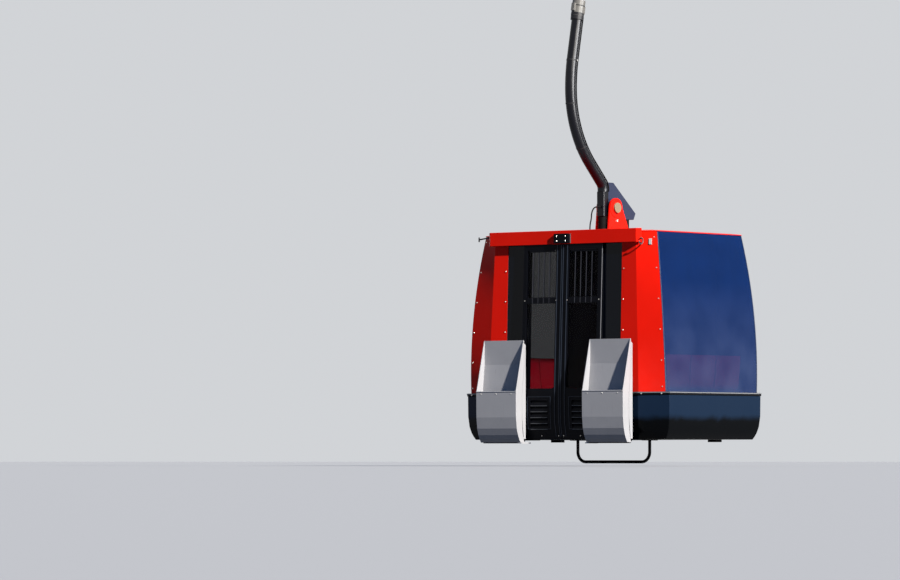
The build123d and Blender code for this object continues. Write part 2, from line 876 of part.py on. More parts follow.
# Hanger arm: one bent tube from the collar to the foot. It leans outwards from the collar,
# bows round its lower arc to 45 degrees and bends upright again above the square foot.
slope = radians(45)
lean_y = sin(radians(arm_lean))
lean_z = cos(radians(arm_lean))
foot_bottom_z = bracket_top_z + arm_foot_height
foot_bend_setback = foot_bend_radius * tan(slope / 2)
bend_z = foot_bottom_z + arm_foot_run + foot_bend_setback
foot_top_z = bend_z - foot_bend_setback - foot_stub
slope_y = arm_foot_y - arm_slope_run * sin(slope)
slope_z = bend_z + arm_slope_run * cos(slope)
bow_y = slope_y - arm_bow_radius * (1 - cos(slope))
bow_z = slope_z + arm_bow_radius * sin(slope)
lean_end_y = bow_y + arm_upper_radius * (1 - lean_z)
lean_end_z = bow_z + arm_upper_radius * lean_y
collar_y = lean_end_y + (collar_z - lean_end_z) * lean_y / lean_z


def arm_line(beside):
    """The arm's line from the collar to the foot, moved towards +Y by a distance beside it."""
    top = (collar_y + beside * lean_z, collar_z - beside * lean_y)
    lean_start = (lean_end_y + beside * lean_z, lean_end_z - beside * lean_y)
    Line(top, lean_start)
    JernArc(lean_start, (-lean_y, -lean_z), arm_upper_radius - beside, arm_lean)
    bow = JernArc((bow_y + beside, bow_z), (0, -1), arm_bow_radius - beside, 45)
    bend_start = (
        arm_foot_y + beside - (foot_bend_setback + beside * tan(slope / 2)) * sin(slope),
        bend_z + beside * tan(slope / 2) + (foot_bend_setback + beside * tan(slope / 2)) * cos(slope),
    )
    Line(bow @ 1, bend_start)
    bend = JernArc(bend_start, (1, -1), foot_bend_radius + beside, -45)
    Line(bend @ 1, (arm_foot_y + beside, foot_top_z))


arm_top_plane = Plane(origin=(0, collar_y, collar_z), x_dir=(1, 0, 0), z_dir=(0, -lean_y, -lean_z))
with BuildPart() as hanger_tube:
    with BuildLine(Plane.YZ) as arm_path:
        arm_line(0)
    with BuildSketch(arm_top_plane):
        Circle(tube_diameter / 2)
    sweep(path=arm_path.wire())
finish(hanger_tube.part, "hanger_tube")

with BuildPart() as hanger_foot:
    with BuildSketch(Plane.XY.offset(foot_bottom_z)):
        with Locations((0, arm_foot_y)):
            RectangleRounded(2 * foot_half, 2 * foot_half, foot_corner)
    extrude(amount=foot_top_z - seat_gap - foot_bottom_z)
finish(hanger_foot.part, "hanger_foot")

# Cable clipped to the arm, on the tube's inner side towards +X.
arm_cable_radius = (tube_diameter + cable_diameter) / 2 + arm_cable_gap
arm_cable_x = arm_cable_radius * cos(radians(arm_cable_angle))
arm_cable_beside = arm_cable_radius * sin(radians(arm_cable_angle))
with BuildPart() as arm_cable:
    with BuildLine(Plane.YZ.offset(arm_cable_x)) as arm_cable_path:
        arm_line(arm_cable_beside)
    cable_wire = arm_cable_path.wire()
    with BuildSketch(Plane(origin=cable_wire @ 0, z_dir=cable_wire % 0)):
        Circle(cable_diameter / 2)
    sweep(path=cable_wire)
finish(arm_cable.part, "arm_cable")

# Gusset: the grey plate from the foot of the tube to the pivot bolt and the far buffer.
gusset_near_y = arm_foot_y + tube_diameter / 2 + seat_gap
gusset_far_y = gusset_near_y + gusset_reach
gusset_end_z = bracket_top_z + arm_foot_height - seat_gap - foot_stub
with BuildPart() as hanger_gusset:
    with BuildSketch(Plane.YZ.offset(-gusset_half)):
        with BuildLine():
            Polyline(
                (gusset_near_y, gusset_end_z + gusset_depth),
                (gusset_near_y + gusset_top_run, gusset_end_z + gusset_depth),
                (gusset_far_y, gusset_end_z + gusset_nose),
                (gusset_far_y - gusset_heel, gusset_end_z),
                (far_buffer_y - far_buffer_diameter / 2, gusset_end_z),
                (gusset_near_y + gusset_throat, gusset_end_z + gusset_heel),
                (gusset_near_y, gusset_end_z + gusset_heel),
                close=True,
            )
        make_face()
        with Locations((pivot_y, pivot_z)):
            Circle(bolt_diameter / 2 + seat_gap, mode=Mode.SUBTRACT)
    extrude(amount=2 * gusset_half)
    for side in (1, -1):
        with BuildSketch(Plane.YZ.offset(side * gusset_half)):
            with Locations((pivot_y, pivot_z)):
                Circle(bolt_diameter)
                Circle(bolt_diameter / 2 + seat_gap, mode=Mode.SUBTRACT)
        extrude(amount=side * (cheek_half_gap - seat_gap - gusset_half))
finish(hanger_gusset.part, "hanger_gusset")

# Rubber buffers between the bracket's base and the two ends of the hanger.
sway_buffer_table = [
    # y, diameter, z of what rests on it
    (arm_foot_y, foot_buffer_diameter, foot_bottom_z),
    (far_buffer_y, far_buffer_diameter, gusset_end_z),
]
with BuildPart() as sway_buffers:
    for buffer_y, buffer_diameter, buffer_top_z in sway_buffer_table:
        with BuildSketch(Plane.XY.offset(bracket_top_z + seat_gap)):
            with Locations((0, buffer_y)):
                Circle(buffer_diameter / 2)
        extrude(amount=buffer_top_z - bracket_top_z - 2 * seat_gap)
finish(sway_buffers.part, "sway_buffers")

# Clamp collar that holds the top of the tube to the head, with ears for its bolts.
arm_direction = Vector(0, lean_y, lean_z)
arm_end = Vector(0, collar_y, collar_z) + arm_direction * seat_gap
with BuildPart() as hanger_collar:
    with BuildSketch(Plane(origin=arm_end, z_dir=arm_direction)):
        Circle(tube_diameter / 2 + collar_wall)
    extrude(amount=collar_length)
    with BuildSketch(Plane(origin=arm_end + arm_direction * collar_length / 4, z_dir=arm_direction)):
        Rectangle(2 * (tube_diameter / 2 + collar_ear), collar_ear)
    extrude(amount=collar_length / 2)
finish(hanger_collar.part, "hanger_collar")

# Head of the hanger: a forged neck with an eye for the grip's pin.
socket = arm_end + arm_direction * (collar_length + seat_gap)
head_y = socket.Y - socket.Z * lean_y / lean_z
neck_plane = Plane(origin=socket, x_dir=(1, 0, 0), z_dir=arm_direction)
with BuildPart() as hanger_head:
    with BuildSketch(neck_plane):
        RectangleRounded(head_neck_width, head_neck_depth, seat_nose)
    extrude(amount=-socket.Z / lean_z)
    with BuildSketch(Plane.XZ.offset(-head_y - head_eye_half)):
        Circle(head_eye_radius)
    extrude(amount=2 * head_eye_half)
    with BuildSketch(Plane.XZ.offset(-head_y - head_eye_half)):
        Circle(hanger_pin_radius + pin_clearance)
    extrude(amount=2 * head_eye_half, mode=Mode.SUBTRACT)
finish(hanger_head.part, "hanger_head")

# Jumper cable, from a gland on the hanger's foot to a gland on the roof. The points are chosen
# by hand, and a corner is rounded by an arc as large as its two runs allow.
foot_face_y = arm_foot_y - foot_half - seat_gap
roof_face_z = roof_crown_z + seat_gap
cable_route = [
    # y from the foot's face, z from the roof's crown
    (-gland_length, 256),
    (-66, 256),
    (-109, 231),
    (-131, 187),
    (-133, 136),
    (-156, 80),
    (-156, gland_length),
]
cable_points = [(0, foot_face_y + y, roof_face_z + rise) for y, rise in cable_route]
cable_radii = []
for before, here, after in zip(cable_points, cable_points[1:], cable_points[2:]):
    run_in = Vector(*here) - Vector(*before)
    run_out = Vector(*after) - Vector(*here)
    turn = radians(run_in.get_angle(run_out))
    cable_radii.append(0.45 * min(run_in.length, run_out.length) / tan(turn / 2))
print("cable radii", [round(r) for r in cable_radii])
with BuildPart() as jumper_cable:
    with BuildLine() as cable_line:
        FilletPolyline(*cable_points, radius=cable_radii)
    with BuildSketch(Plane(origin=cable_line.wire() @ 0, z_dir=cable_line.wire() % 0)):
        Circle(cable_diameter / 2)
    sweep()
print("cable length", round(cable_line.wire().length), "volume share",
      round(jumper_cable.part.volume / (cable_line.wire().length * 3.14159 * cable_diameter**2 / 4), 3))
finish(jumper_cable.part, "jumper_cable")

with BuildPart() as cable_glands:
    with BuildSketch(Plane.XZ.offset(-foot_face_y)):
        with Locations((0, cable_points[0][2])):
            Circle(gland_diameter / 2)
    extrude(amount=gland_length)
    with BuildSketch(Plane.XY.offset(roof_face_z)):
        with Locations((0, cable_points[-1][1])):
            Circle(gland_diameter / 2)
    extrude(amount=gland_length)
finish(cable_glands.part, "cable_glands")

# Grip: a cast body whose upper jaw lies on the rope. Its back block carries the hanger's pin
# and the lugs of the jaw pin, and a bracket on its top carries the running wheel.
body_back_y = head_y + head_eye_half + body_room
jaw_face = rope_radius + jaw_wall
wheel_z = body_top_z + wheel_radius + wheel_clearance
with BuildPart() as grip_body:
    with BuildSketch(Plane.YZ.offset(-jaw_length / 2)):
        with BuildLine():
            Polyline(
                (jaw_face, jaw_gap / 2),
                (jaw_face, jaw_shoulder),
                (jaw_crown, jaw_face),
                (body_shoulder_y, body_top_z),
                (body_back_y, body_top_z),
                (body_back_y, body_foot_z),
                (body_heel_y, body_foot_z),
                (body_throat_y, jaw_gap / 2),
                close=True,
            )
        make_face()
        Circle(rope_radius, mode=Mode.SUBTRACT)
    extrude(amount=jaw_length)
    for side in (1, -1):
        with BuildSketch(Plane.YZ.offset(side * jaw_length / 2)):
            with Locations((body_back_y, body_foot_z)):
                Rectangle(lug_width, body_top_z - body_foot_z, align=(Align.MIN, Align.MIN))
        extrude(amount=side * (lug_gap + lug_thickness))
        with BuildSketch(Plane.YZ.offset(side * (jaw_length / 2 + lug_gap))):
            with BuildLine():
                Polyline(
                    (body_back_y + lug_width - lug_thickness, jaw_shoulder),
                    (body_back_y + lug_width - lug_thickness, body_foot_z),
                    (jaw_hinge_y - 2 * jaw_pin_radius, jaw_hinge_z - 2 * jaw_pin_radius),
                    (jaw_hinge_y + 2 * jaw_pin_radius, jaw_hinge_z - 2 * jaw_pin_radius),
                    (jaw_hinge_y + 2 * jaw_pin_radius, jaw_hinge_z + 2 * jaw_pin_radius),
                    (body_heel_y, jaw_shoulder),
                    close=True,
                )
            make_face()
            with Locations((jaw_hinge_y, jaw_hinge_z)):
                Circle(jaw_pin_radius + seat_gap, mode=Mode.SUBTRACT)
        extrude(amount=side * lug_thickness)
    with BuildSketch(Plane.XY.offset(body_top_z)):
        with Locations((0, body_back_y + lug_width / 2)):
            with GridLocations(spring_cup_spacing, 0, 2, 1):
                Circle(spring_cup_radius)
    extrude(amount=spring_cup_height)
    with BuildSketch(Plane.XZ.offset(-wheel_bracket_y)):
        with BuildLine():
            Polyline(
                (-wheel_bracket_half, body_top_z),
                (wheel_bracket_half, body_top_z),
                (hanger_pin_radius, wheel_z),
                (-hanger_pin_radius, wheel_z),
                close=True,
            )
        make_face()
        with Locations((0, wheel_z)):
            Circle(hanger_pin_radius)
    extrude(amount=wheel_bracket_thickness)
    with BuildSketch(Plane.XZ.offset(-wheel_bracket_y)):
        with Locations((0, wheel_z)):
            Circle(wheel_axle_radius)
    extrude(amount=wheel_bracket_y - wheel_y - wheel_width / 2 - wheel_side_room)
finish(grip_body.part, "grip_body")

pin_end_y = head_y - head_eye_half - running_gap
with BuildPart() as hanger_pin:
    with BuildSketch(Plane.XZ.offset(-body_back_y + seat_gap)):
        Circle(hanger_pin_radius)
    extrude(amount=body_back_y - pin_end_y)
    with BuildSketch(Plane.XZ.offset(-pin_end_y)):
        Circle(hanger_pin_radius + pin_collar)
    extrude(amount=pin_collar_length)
finish(hanger_pin.part, "hanger_pin")

# Moving jaw below the rope, with the lever that opens it and the roller on the lever's end.
lever_end_y = jaw_hinge_y - lever_reach
lever_end_z = jaw_hinge_z - lever_drop
with BuildPart() as moving_jaw:
    with BuildSketch(Plane.YZ.offset(-jaw_length / 2)):
        with BuildLine():
            Polyline(
                (jaw_face, -jaw_gap / 2),
                (body_throat_y + lug_gap, -jaw_gap / 2),
                (jaw_hinge_y - 2 * jaw_pin_radius, jaw_hinge_z + 2 * jaw_pin_radius),
                (jaw_hinge_y - 2 * jaw_pin_radius, jaw_hinge_z - 2 * jaw_pin_radius),
                (jaw_hinge_y + jaw_shoulder, jaw_hinge_z - 2 * jaw_pin_radius),
                (jaw_crown, -jaw_face),
                (jaw_face, -jaw_crown),
                close=True,
            )
        make_face()
        Circle(rope_radius, mode=Mode.SUBTRACT)
        with Locations((jaw_hinge_y, jaw_hinge_z)):
            Circle(jaw_pin_radius + pin_clearance, mode=Mode.SUBTRACT)
    extrude(amount=jaw_length)
    with BuildSketch(Plane.YZ.offset(-lever_width / 2)):
        with BuildLine():
            Polyline(
                (jaw_hinge_y - 1.5 * jaw_pin_radius, jaw_hinge_z - jaw_pin_radius / 2),
                (jaw_hinge_y - 1.5 * jaw_pin_radius, jaw_hinge_z - 2 * jaw_pin_radius),
                (lever_end_y, lever_end_z - jaw_pin_radius),
                (lever_end_y, lever_end_z + jaw_pin_radius),
                close=True,
            )
        make_face()
        with Locations((lever_end_y, lever_end_z)):
            Circle(lever_roller_radius)
    extrude(amount=lever_width)
finish(moving_jaw.part, "moving_jaw")

jaw_pin_half = jaw_length / 2 + lug_gap + lug_thickness + jaw_pin_end
with BuildPart() as jaw_pin:
    with BuildSketch(Plane.YZ.offset(-jaw_pin_half)):
        with Locations((jaw_hinge_y, jaw_hinge_z)):
            Circle(jaw_pin_radius)
    extrude(amount=2 * jaw_pin_half)
finish(jaw_pin.part, "jaw_pin")

# Running wheel, a plain disc with a plastic tyre.
with BuildPart() as running_wheel:
    with BuildSketch(Plane.YZ):
        with BuildLine():
            Polyline(
                (wheel_y - wheel_width / 2, wheel_z + wheel_axle_radius + pin_clearance),
                (wheel_y - wheel_width / 2, wheel_z + wheel_radius),
                (wheel_y + wheel_width / 2, wheel_z + wheel_radius),
                (wheel_y + wheel_width / 2, wheel_z + wheel_axle_radius + pin_clearance),
                close=True,
            )
        make_face()
    revolve(axis=Axis((0, wheel_y, wheel_z), (0, 1, 0)))
finish(running_wheel.part, "running_wheel")
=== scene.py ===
"""Finishes of a cable car cabin with its hanger arm and rope grip, in metres."""

import json
from math import atan2, cos, pi, radians, sin

import bmesh
import bpy
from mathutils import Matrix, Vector
from mathutils.bvhtree import BVHTree
from mathutils.geometry import convex_hull_2d

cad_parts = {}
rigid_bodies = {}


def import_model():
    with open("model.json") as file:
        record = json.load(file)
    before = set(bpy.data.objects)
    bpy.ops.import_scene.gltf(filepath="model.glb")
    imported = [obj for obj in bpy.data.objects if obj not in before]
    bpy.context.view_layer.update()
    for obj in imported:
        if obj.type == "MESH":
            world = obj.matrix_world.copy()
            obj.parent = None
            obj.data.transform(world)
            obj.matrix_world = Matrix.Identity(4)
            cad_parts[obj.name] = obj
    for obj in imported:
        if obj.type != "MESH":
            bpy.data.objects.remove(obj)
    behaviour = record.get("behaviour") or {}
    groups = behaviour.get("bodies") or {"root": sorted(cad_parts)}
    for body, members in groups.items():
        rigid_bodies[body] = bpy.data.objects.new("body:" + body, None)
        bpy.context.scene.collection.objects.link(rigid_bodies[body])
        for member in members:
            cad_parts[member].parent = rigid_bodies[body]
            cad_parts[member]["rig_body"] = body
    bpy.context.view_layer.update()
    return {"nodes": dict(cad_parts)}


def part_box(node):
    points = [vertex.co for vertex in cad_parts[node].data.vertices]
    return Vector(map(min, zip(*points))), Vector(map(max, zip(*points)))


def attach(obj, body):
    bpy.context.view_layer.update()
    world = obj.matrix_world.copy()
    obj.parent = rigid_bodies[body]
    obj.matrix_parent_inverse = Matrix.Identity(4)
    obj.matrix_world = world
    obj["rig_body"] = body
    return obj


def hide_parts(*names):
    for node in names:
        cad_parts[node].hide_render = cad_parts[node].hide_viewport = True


for leftover in list(bpy.data.objects):
    bpy.data.objects.remove(leftover)
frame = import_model()

# The camera stands low in front of the door side, 38 degrees round towards +X, and looks
# slightly up at the cabin from far away, so that its verticals stay upright.
view_azimuth = radians(38)
view_elevation = radians(-1.81)
view_distance = 52
cabin_middle = Vector((0, 0, -3.166))
towards_camera = Vector(
    (
        sin(view_azimuth) * cos(view_elevation),
        -cos(view_azimuth) * cos(view_elevation),
        sin(view_elevation),
    )
)
across_view = Vector((cos(view_azimuth), sin(view_azimuth), 0))
aim_aside = -1.572
aim_point = cabin_middle + aim_aside * across_view
camera_data = bpy.data.cameras.new("view")
camera_data.sensor_width = 36
camera_data.lens = 216.3
camera_data.clip_end = 400
camera = bpy.data.objects.new("view", camera_data)
camera.location = cabin_middle + view_distance * towards_camera
camera.rotation_euler = (aim_point - camera.location).to_track_quat("-Z", "Y").to_euler()
bpy.context.scene.collection.objects.link(camera)
bpy.context.scene.camera = camera
bpy.context.scene.view_settings.view_transform = "Standard"

# The jumper cable is a short rubber-sheathed lead that hangs in a bow from the hanger's foot to
# the roof, with a black nylon gland nut at each end. The arm cable is a longer lead of the same
# kind, strapped to the tube.


def new_finish(name):
    """An empty material: itself, its node tree, its shader and the piece's own coordinates."""
    material = bpy.data.materials.new(name)
    material.use_nodes = True
    tree = material.node_tree
    place = tree.nodes.new("ShaderNodeTexCoord").outputs["Object"]
    return material, tree, tree.nodes["Principled BSDF"], place


def clouds(tree, place, scale, detail=2, distortion=0):
    """Soft noise from 0 to 1 all over a piece."""
    noise = tree.nodes.new("ShaderNodeTexNoise")
    noise.inputs["Scale"].default_value = scale
    noise.inputs["Detail"].default_value = detail
    noise.inputs["Distortion"].default_value = distortion
    tree.links.new(place, noise.inputs["Vector"])
    return noise.outputs["Fac"]


def between(tree, share, first, second):
    """A colour mixed from two, each of which is fixed or comes from another node."""
    mix = tree.nodes.new("ShaderNodeMix")
    mix.data_type = "RGBA"
    tree.links.new(share, mix.inputs["Factor"])
    for socket, colour in ((mix.inputs["A"], first), (mix.inputs["B"], second)):
        if isinstance(colour, bpy.types.NodeSocket):
            tree.links.new(colour, socket)
        else:
            socket.default_value = (*colour, 1)
    return mix.outputs["Result"]


def uneven_skin(tree, shader, unevenness):
    """A faint unevenness of the surface, which breaks up its gloss."""
    skin = tree.nodes.new("ShaderNodeBump")
    skin.inputs["Strength"].default_value = 0.06
    skin.inputs["Distance"].default_value = 0.001
    tree.links.new(unevenness, skin.inputs["Height"])
    tree.links.new(skin.outputs["Normal"], shader.inputs["Normal"])


def rubber(name, colour, roughness):
    """Black rubber or nylon with a dull, uneven skin."""
    material, tree, shader, place = new_finish(name)
    bloom = clouds(tree, place, scale=35, detail=4)
    tone = between(tree, bloom, [c * 0.7 for c in colour], [c * 1.5 for c in colour])
    tree.links.new(tone, shader.inputs["Base Color"])
    uneven_skin(tree, shader, bloom)
    shader.inputs["Roughness"].default_value = roughness
    shader.inputs["Specular IOR Level"].default_value = 0.06
    return material


def finished(node, material, edge=0.002, crease=30):
    """A merged copy of a CAD piece with its sharp edges eased, which stands for that piece."""
    source = frame["nodes"][node].data
    shell = bmesh.new()
    for vertex in source.vertices:
        shell.verts.new(vertex.co)
    shell.verts.ensure_lookup_table()
    for polygon in source.polygons:
        shell.faces.new([shell.verts[i] for i in polygon.vertices])
    bmesh.ops.remove_doubles(shell, verts=shell.verts, dist=0.00002)
    bmesh.ops.dissolve_limit(
        shell, angle_limit=radians(0.4), verts=shell.verts, edges=shell.edges
    )
    mesh = bpy.data.meshes.new(f"{node}_finished")
    shell.to_mesh(mesh)
    shell.free()
    mesh.polygons.foreach_set("use_smooth", [True] * len(mesh.polygons))
    mesh.set_sharp_from_angle(angle=radians(crease))
    mesh.materials.append(material)
    piece = bpy.data.objects.new(f"{node}_finished", mesh)
    bpy.context.scene.collection.objects.link(piece)
    if edge:
        easing = piece.modifiers.new("eased edges", "BEVEL")
        easing.width = edge
        easing.segments = 2
        easing.limit_method = "ANGLE"
        easing.angle_limit = radians(35)
        easing.harden_normals = True
    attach(piece, frame["nodes"][node]["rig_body"])
    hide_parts(node)
    return piece


cable_rubber = rubber("cable_rubber", (0.006, 0.006, 0.007), roughness=0.75)
cable_radius = 0.0065
cable_end_gap = 0.0003
cable_foot_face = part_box("hanger_foot")[0].y - cable_end_gap
cable_roof_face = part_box("roof_panel")[1].z + cable_end_gap
cable_route = [
    # out from the foot's face, up from the roof
    (-0.020, 0.256),
    (-0.066, 0.256),
    (-0.109, 0.231),
    (-0.131, 0.187),
    (-0.133, 0.136),
    (-0.156, 0.080),
    (-0.156, 0.020),
]
cable_curve = bpy.data.curves.new("jumper_cable_sheath", "CURVE")
cable_curve.dimensions = "3D"
cable_line = cable_curve.splines.new("NURBS")
cable_line.points.add(len(cable_route) - 1)
for point, (out, rise) in zip(cable_line.points, cable_route):
    point.co = (0, cable_foot_face + out, cable_roof_face + rise, 1)
cable_line.order_u = 3
cable_line.use_endpoint_u = True
cable_curve.bevel_depth = cable_radius
cable_curve.bevel_resolution = 5
cable_curve.resolution_u = 12
cable_curve.materials.append(cable_rubber)
jumper = bpy.data.objects.new("jumper_cable_sheath", cable_curve)
bpy.context.scene.collection.objects.link(jumper)
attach(jumper, "cabin")
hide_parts("jumper_cable")
finished("cable_glands", cable_rubber, edge=0.0015)
finished("arm_cable", cable_rubber, edge=0, crease=80)

# Floor and light. A pale studio floor lies just under the guide hoop. The key light is low and
# warm, from the right, and a surround that looks pale fills the shadows with a little blue. A
# wide lamp at the right shows only in the gloss, as a streak down the hanger's tube.
floor_drop = 0.025
floor_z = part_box("guide_hoop")[0].z - floor_drop
floor_half = 150
floor_mesh = bpy.data.meshes.new("studio_floor")
floor_mesh.from_pydata(
    [(x * floor_half, y * floor_half, floor_z) for x, y in ((-1, -1), (1, -1), (1, 1), (-1, 1))],
    [],
    [(0, 1, 2, 3)],
)
floor = bpy.data.objects.new("studio_floor", floor_mesh)
bpy.context.scene.collection.objects.link(floor)
floor_paint, floor_tree, floor_shader = new_finish("studio_floor")[:3]
floor_shader.inputs["Roughness"].default_value = 0.9
floor_ray = floor_tree.nodes.new("ShaderNodeLightPath")
floor_seen_colour = (0.335, 0.34, 0.35)
floor_bounced_colour = (0.03, 0.03, 0.03)
floor_tone = between(
    floor_tree, floor_ray.outputs["Is Diffuse Ray"], floor_seen_colour, floor_bounced_colour
)
floor_tree.links.new(floor_tone, floor_shader.inputs["Base Color"])
floor_mesh.materials.append(floor_paint)

surround = bpy.data.worlds.new("surround")
bpy.context.scene.world = surround
surround.use_nodes = True
surround_nodes = surround.node_tree.nodes
surround_links = surround.node_tree.links
seen_light = surround_nodes["Background"]
seen_light.inputs["Color"].default_value = (0.80, 0.82, 0.85, 1)
seen_light.inputs["Strength"].default_value = 0.8
fill_light = surround_nodes.new("ShaderNodeBackground")
fill_light.inputs["Color"].default_value = (0.14, 0.40, 1.0, 1)
fill_light.inputs["Strength"].default_value = 0.28
ray_kind = surround_nodes.new("ShaderNodeLightPath")
seen_share = ray_kind.outputs["Is Camera Ray"]
for kind in ("Is Transmission Ray", "Is Glossy Ray"):
    either = surround_nodes.new("ShaderNodeMath")
    either.operation = "ADD"
    either.use_clamp = True
    surround_links.new(seen_share, either.inputs[0])
    surround_links.new(ray_kind.outputs[kind], either.inputs[1])
    seen_share = either.outputs[0]
surround_mix = surround_nodes.new("ShaderNodeMixShader")
surround_links.new(seen_share, surround_mix.inputs["Fac"])
surround_links.new(fill_light.outputs[0], surround_mix.inputs[1])
surround_links.new(seen_light.outputs[0], surround_mix.inputs[2])
surround_links.new(surround_mix.outputs[0], surround_nodes["World Output"].inputs["Surface"])


def far_lamp(name, direction, energy, width):
    """A lamp that is as good as endlessly far off, and looks so many degrees wide."""
    data = bpy.data.lights.new(name, "SUN")
    data.energy = energy
    data.angle = radians(width)
    lamp = bpy.data.objects.new(name, data)
    lamp.rotation_euler = Vector(direction).normalized().to_track_quat("Z", "Y").to_euler()
    bpy.context.scene.collection.objects.link(lamp)
    return lamp


sun = far_lamp("key_light", (3.2, -0.72, 1.8), energy=8.7, width=1.5)
sun.data.color = (1.0, 0.96, 0.90)
side_panel = far_lamp("side_panel", (0.961, 0.276, 0.14), energy=7, width=34)
side_panel.visible_diffuse = False

# Body panels: folded sheet steel in red gloss enamel, dark inside, riveted to the frame behind
# them. The roof cover, the door header and the bracket on the roof have the same paint.


def ranged(tree, value, low, high, start=0, end=1, soft=False):
    """A value that runs from low to high while another runs from start to end."""
    spread = tree.nodes.new("ShaderNodeMapRange")
    if soft:
        spread.interpolation_type = "SMOOTHSTEP"
    limits = (("From Min", start), ("From Max", end), ("To Min", low), ("To Max", high))
    for socket, limit in limits:
        spread.inputs[socket].default_value = limit
    tree.links.new(value, spread.inputs["Value"])
    return spread.outputs["Result"]


def height_of(tree, place):
    """How high a spot of the piece lies."""
    split = tree.nodes.new("ShaderNodeSeparateXYZ")
    tree.links.new(place, split.inputs[0])
    return split.outputs["Z"]


def settled_dust(tree, place, patches, start_z, foot_z, most):
    """A patchy share of dust that grows from none at one height to its most lower down."""
    cover = tree.nodes.new("ShaderNodeMath")
    cover.operation = "MULTIPLY"
    depth = ranged(tree, height_of(tree, place), 0, most, start=start_z, end=foot_z)
    tree.links.new(depth, cover.inputs[0])
    tree.links.new(patches, cover.inputs[1])
    return cover.outputs[0]


def enamel(name, colour, roughness, shine=0.2, dust=0.0, dust_from=-4.0, dust_to=-4.64):
    """Gloss or satin stoved enamel, a little uneven, with dust that thickens downwards."""
    material, tree, shader, place = new_finish(name)
    darker, lighter = [c * 0.86 for c in colour], [min(1, c * 1.12) for c in colour]
    tone = between(tree, clouds(tree, place, scale=2.2, detail=5), darker, lighter)
    orange_peel = clouds(tree, place, scale=160)
    uneven_skin(tree, shader, orange_peel)
    speckle = clouds(tree, place, scale=14, detail=8)
    cover = settled_dust(tree, place, speckle, dust_from, dust_to, dust)
    dust_colour = (0.22, 0.20, 0.18)
    tree.links.new(between(tree, cover, tone, dust_colour), shader.inputs["Base Color"])
    dullest = min(1, roughness * 1.35 + dust * 0.5)
    sheen = ranged(tree, speckle, roughness * 0.8, dullest)
    tree.links.new(sheen, shader.inputs["Roughness"])
    shader.inputs["Specular IOR Level"].default_value = shine
    return material


red_enamel = enamel(
    "red_enamel", (0.78, 0.010, 0.003), roughness=0.3, shine=0.06,
    dust=0.06, dust_from=-3.6, dust_to=-4.2,
)
dark_lining = enamel("dark_lining", (0.012, 0.012, 0.014), roughness=0.6, shine=0.1)
panel_corners = [
    # name, side along X, side along Y
    ("door_side_right", 1, -1),
    ("door_side_left", -1, -1),
    ("back_side_right", 1, 1),
    ("back_side_left", -1, 1),
]
for corner, side_x, side_y in panel_corners:
    panel = finished(f"corner_panel_{corner}", red_enamel, edge=0.003, crease=5)
    panel.data.materials.append(dark_lining)
    for face in panel.data.polygons:
        out_x, out_y = side_x * face.normal.x, side_y * face.normal.y
        looks_inwards = out_x + out_y < -0.5
        edge_at_glass = out_x > 0.8
        face.material_index = int(looks_inwards or edge_at_glass)
finished("roof_panel", red_enamel, edge=0.004, crease=12)
finished("door_header", red_enamel, edge=0.003)
finished("roof_bracket", red_enamel, edge=0.003, crease=12)

bright_zinc, zinc_tree, zinc_shader, zinc_place = new_finish("bright_zinc")
zinc_shader.inputs["Metallic"].default_value = 1
zinc_spots = clouds(zinc_tree, zinc_place, scale=60)
zinc_tone = between(zinc_tree, zinc_spots, (0.52, 0.50, 0.46), (0.85, 0.83, 0.78))
zinc_tree.links.new(zinc_tone, zinc_shader.inputs["Base Color"])
zinc_dullness = ranged(zinc_tree, zinc_spots, 0.22, 0.42)
zinc_tree.links.new(zinc_dullness, zinc_shader.inputs["Roughness"])


crown_share = 0.72


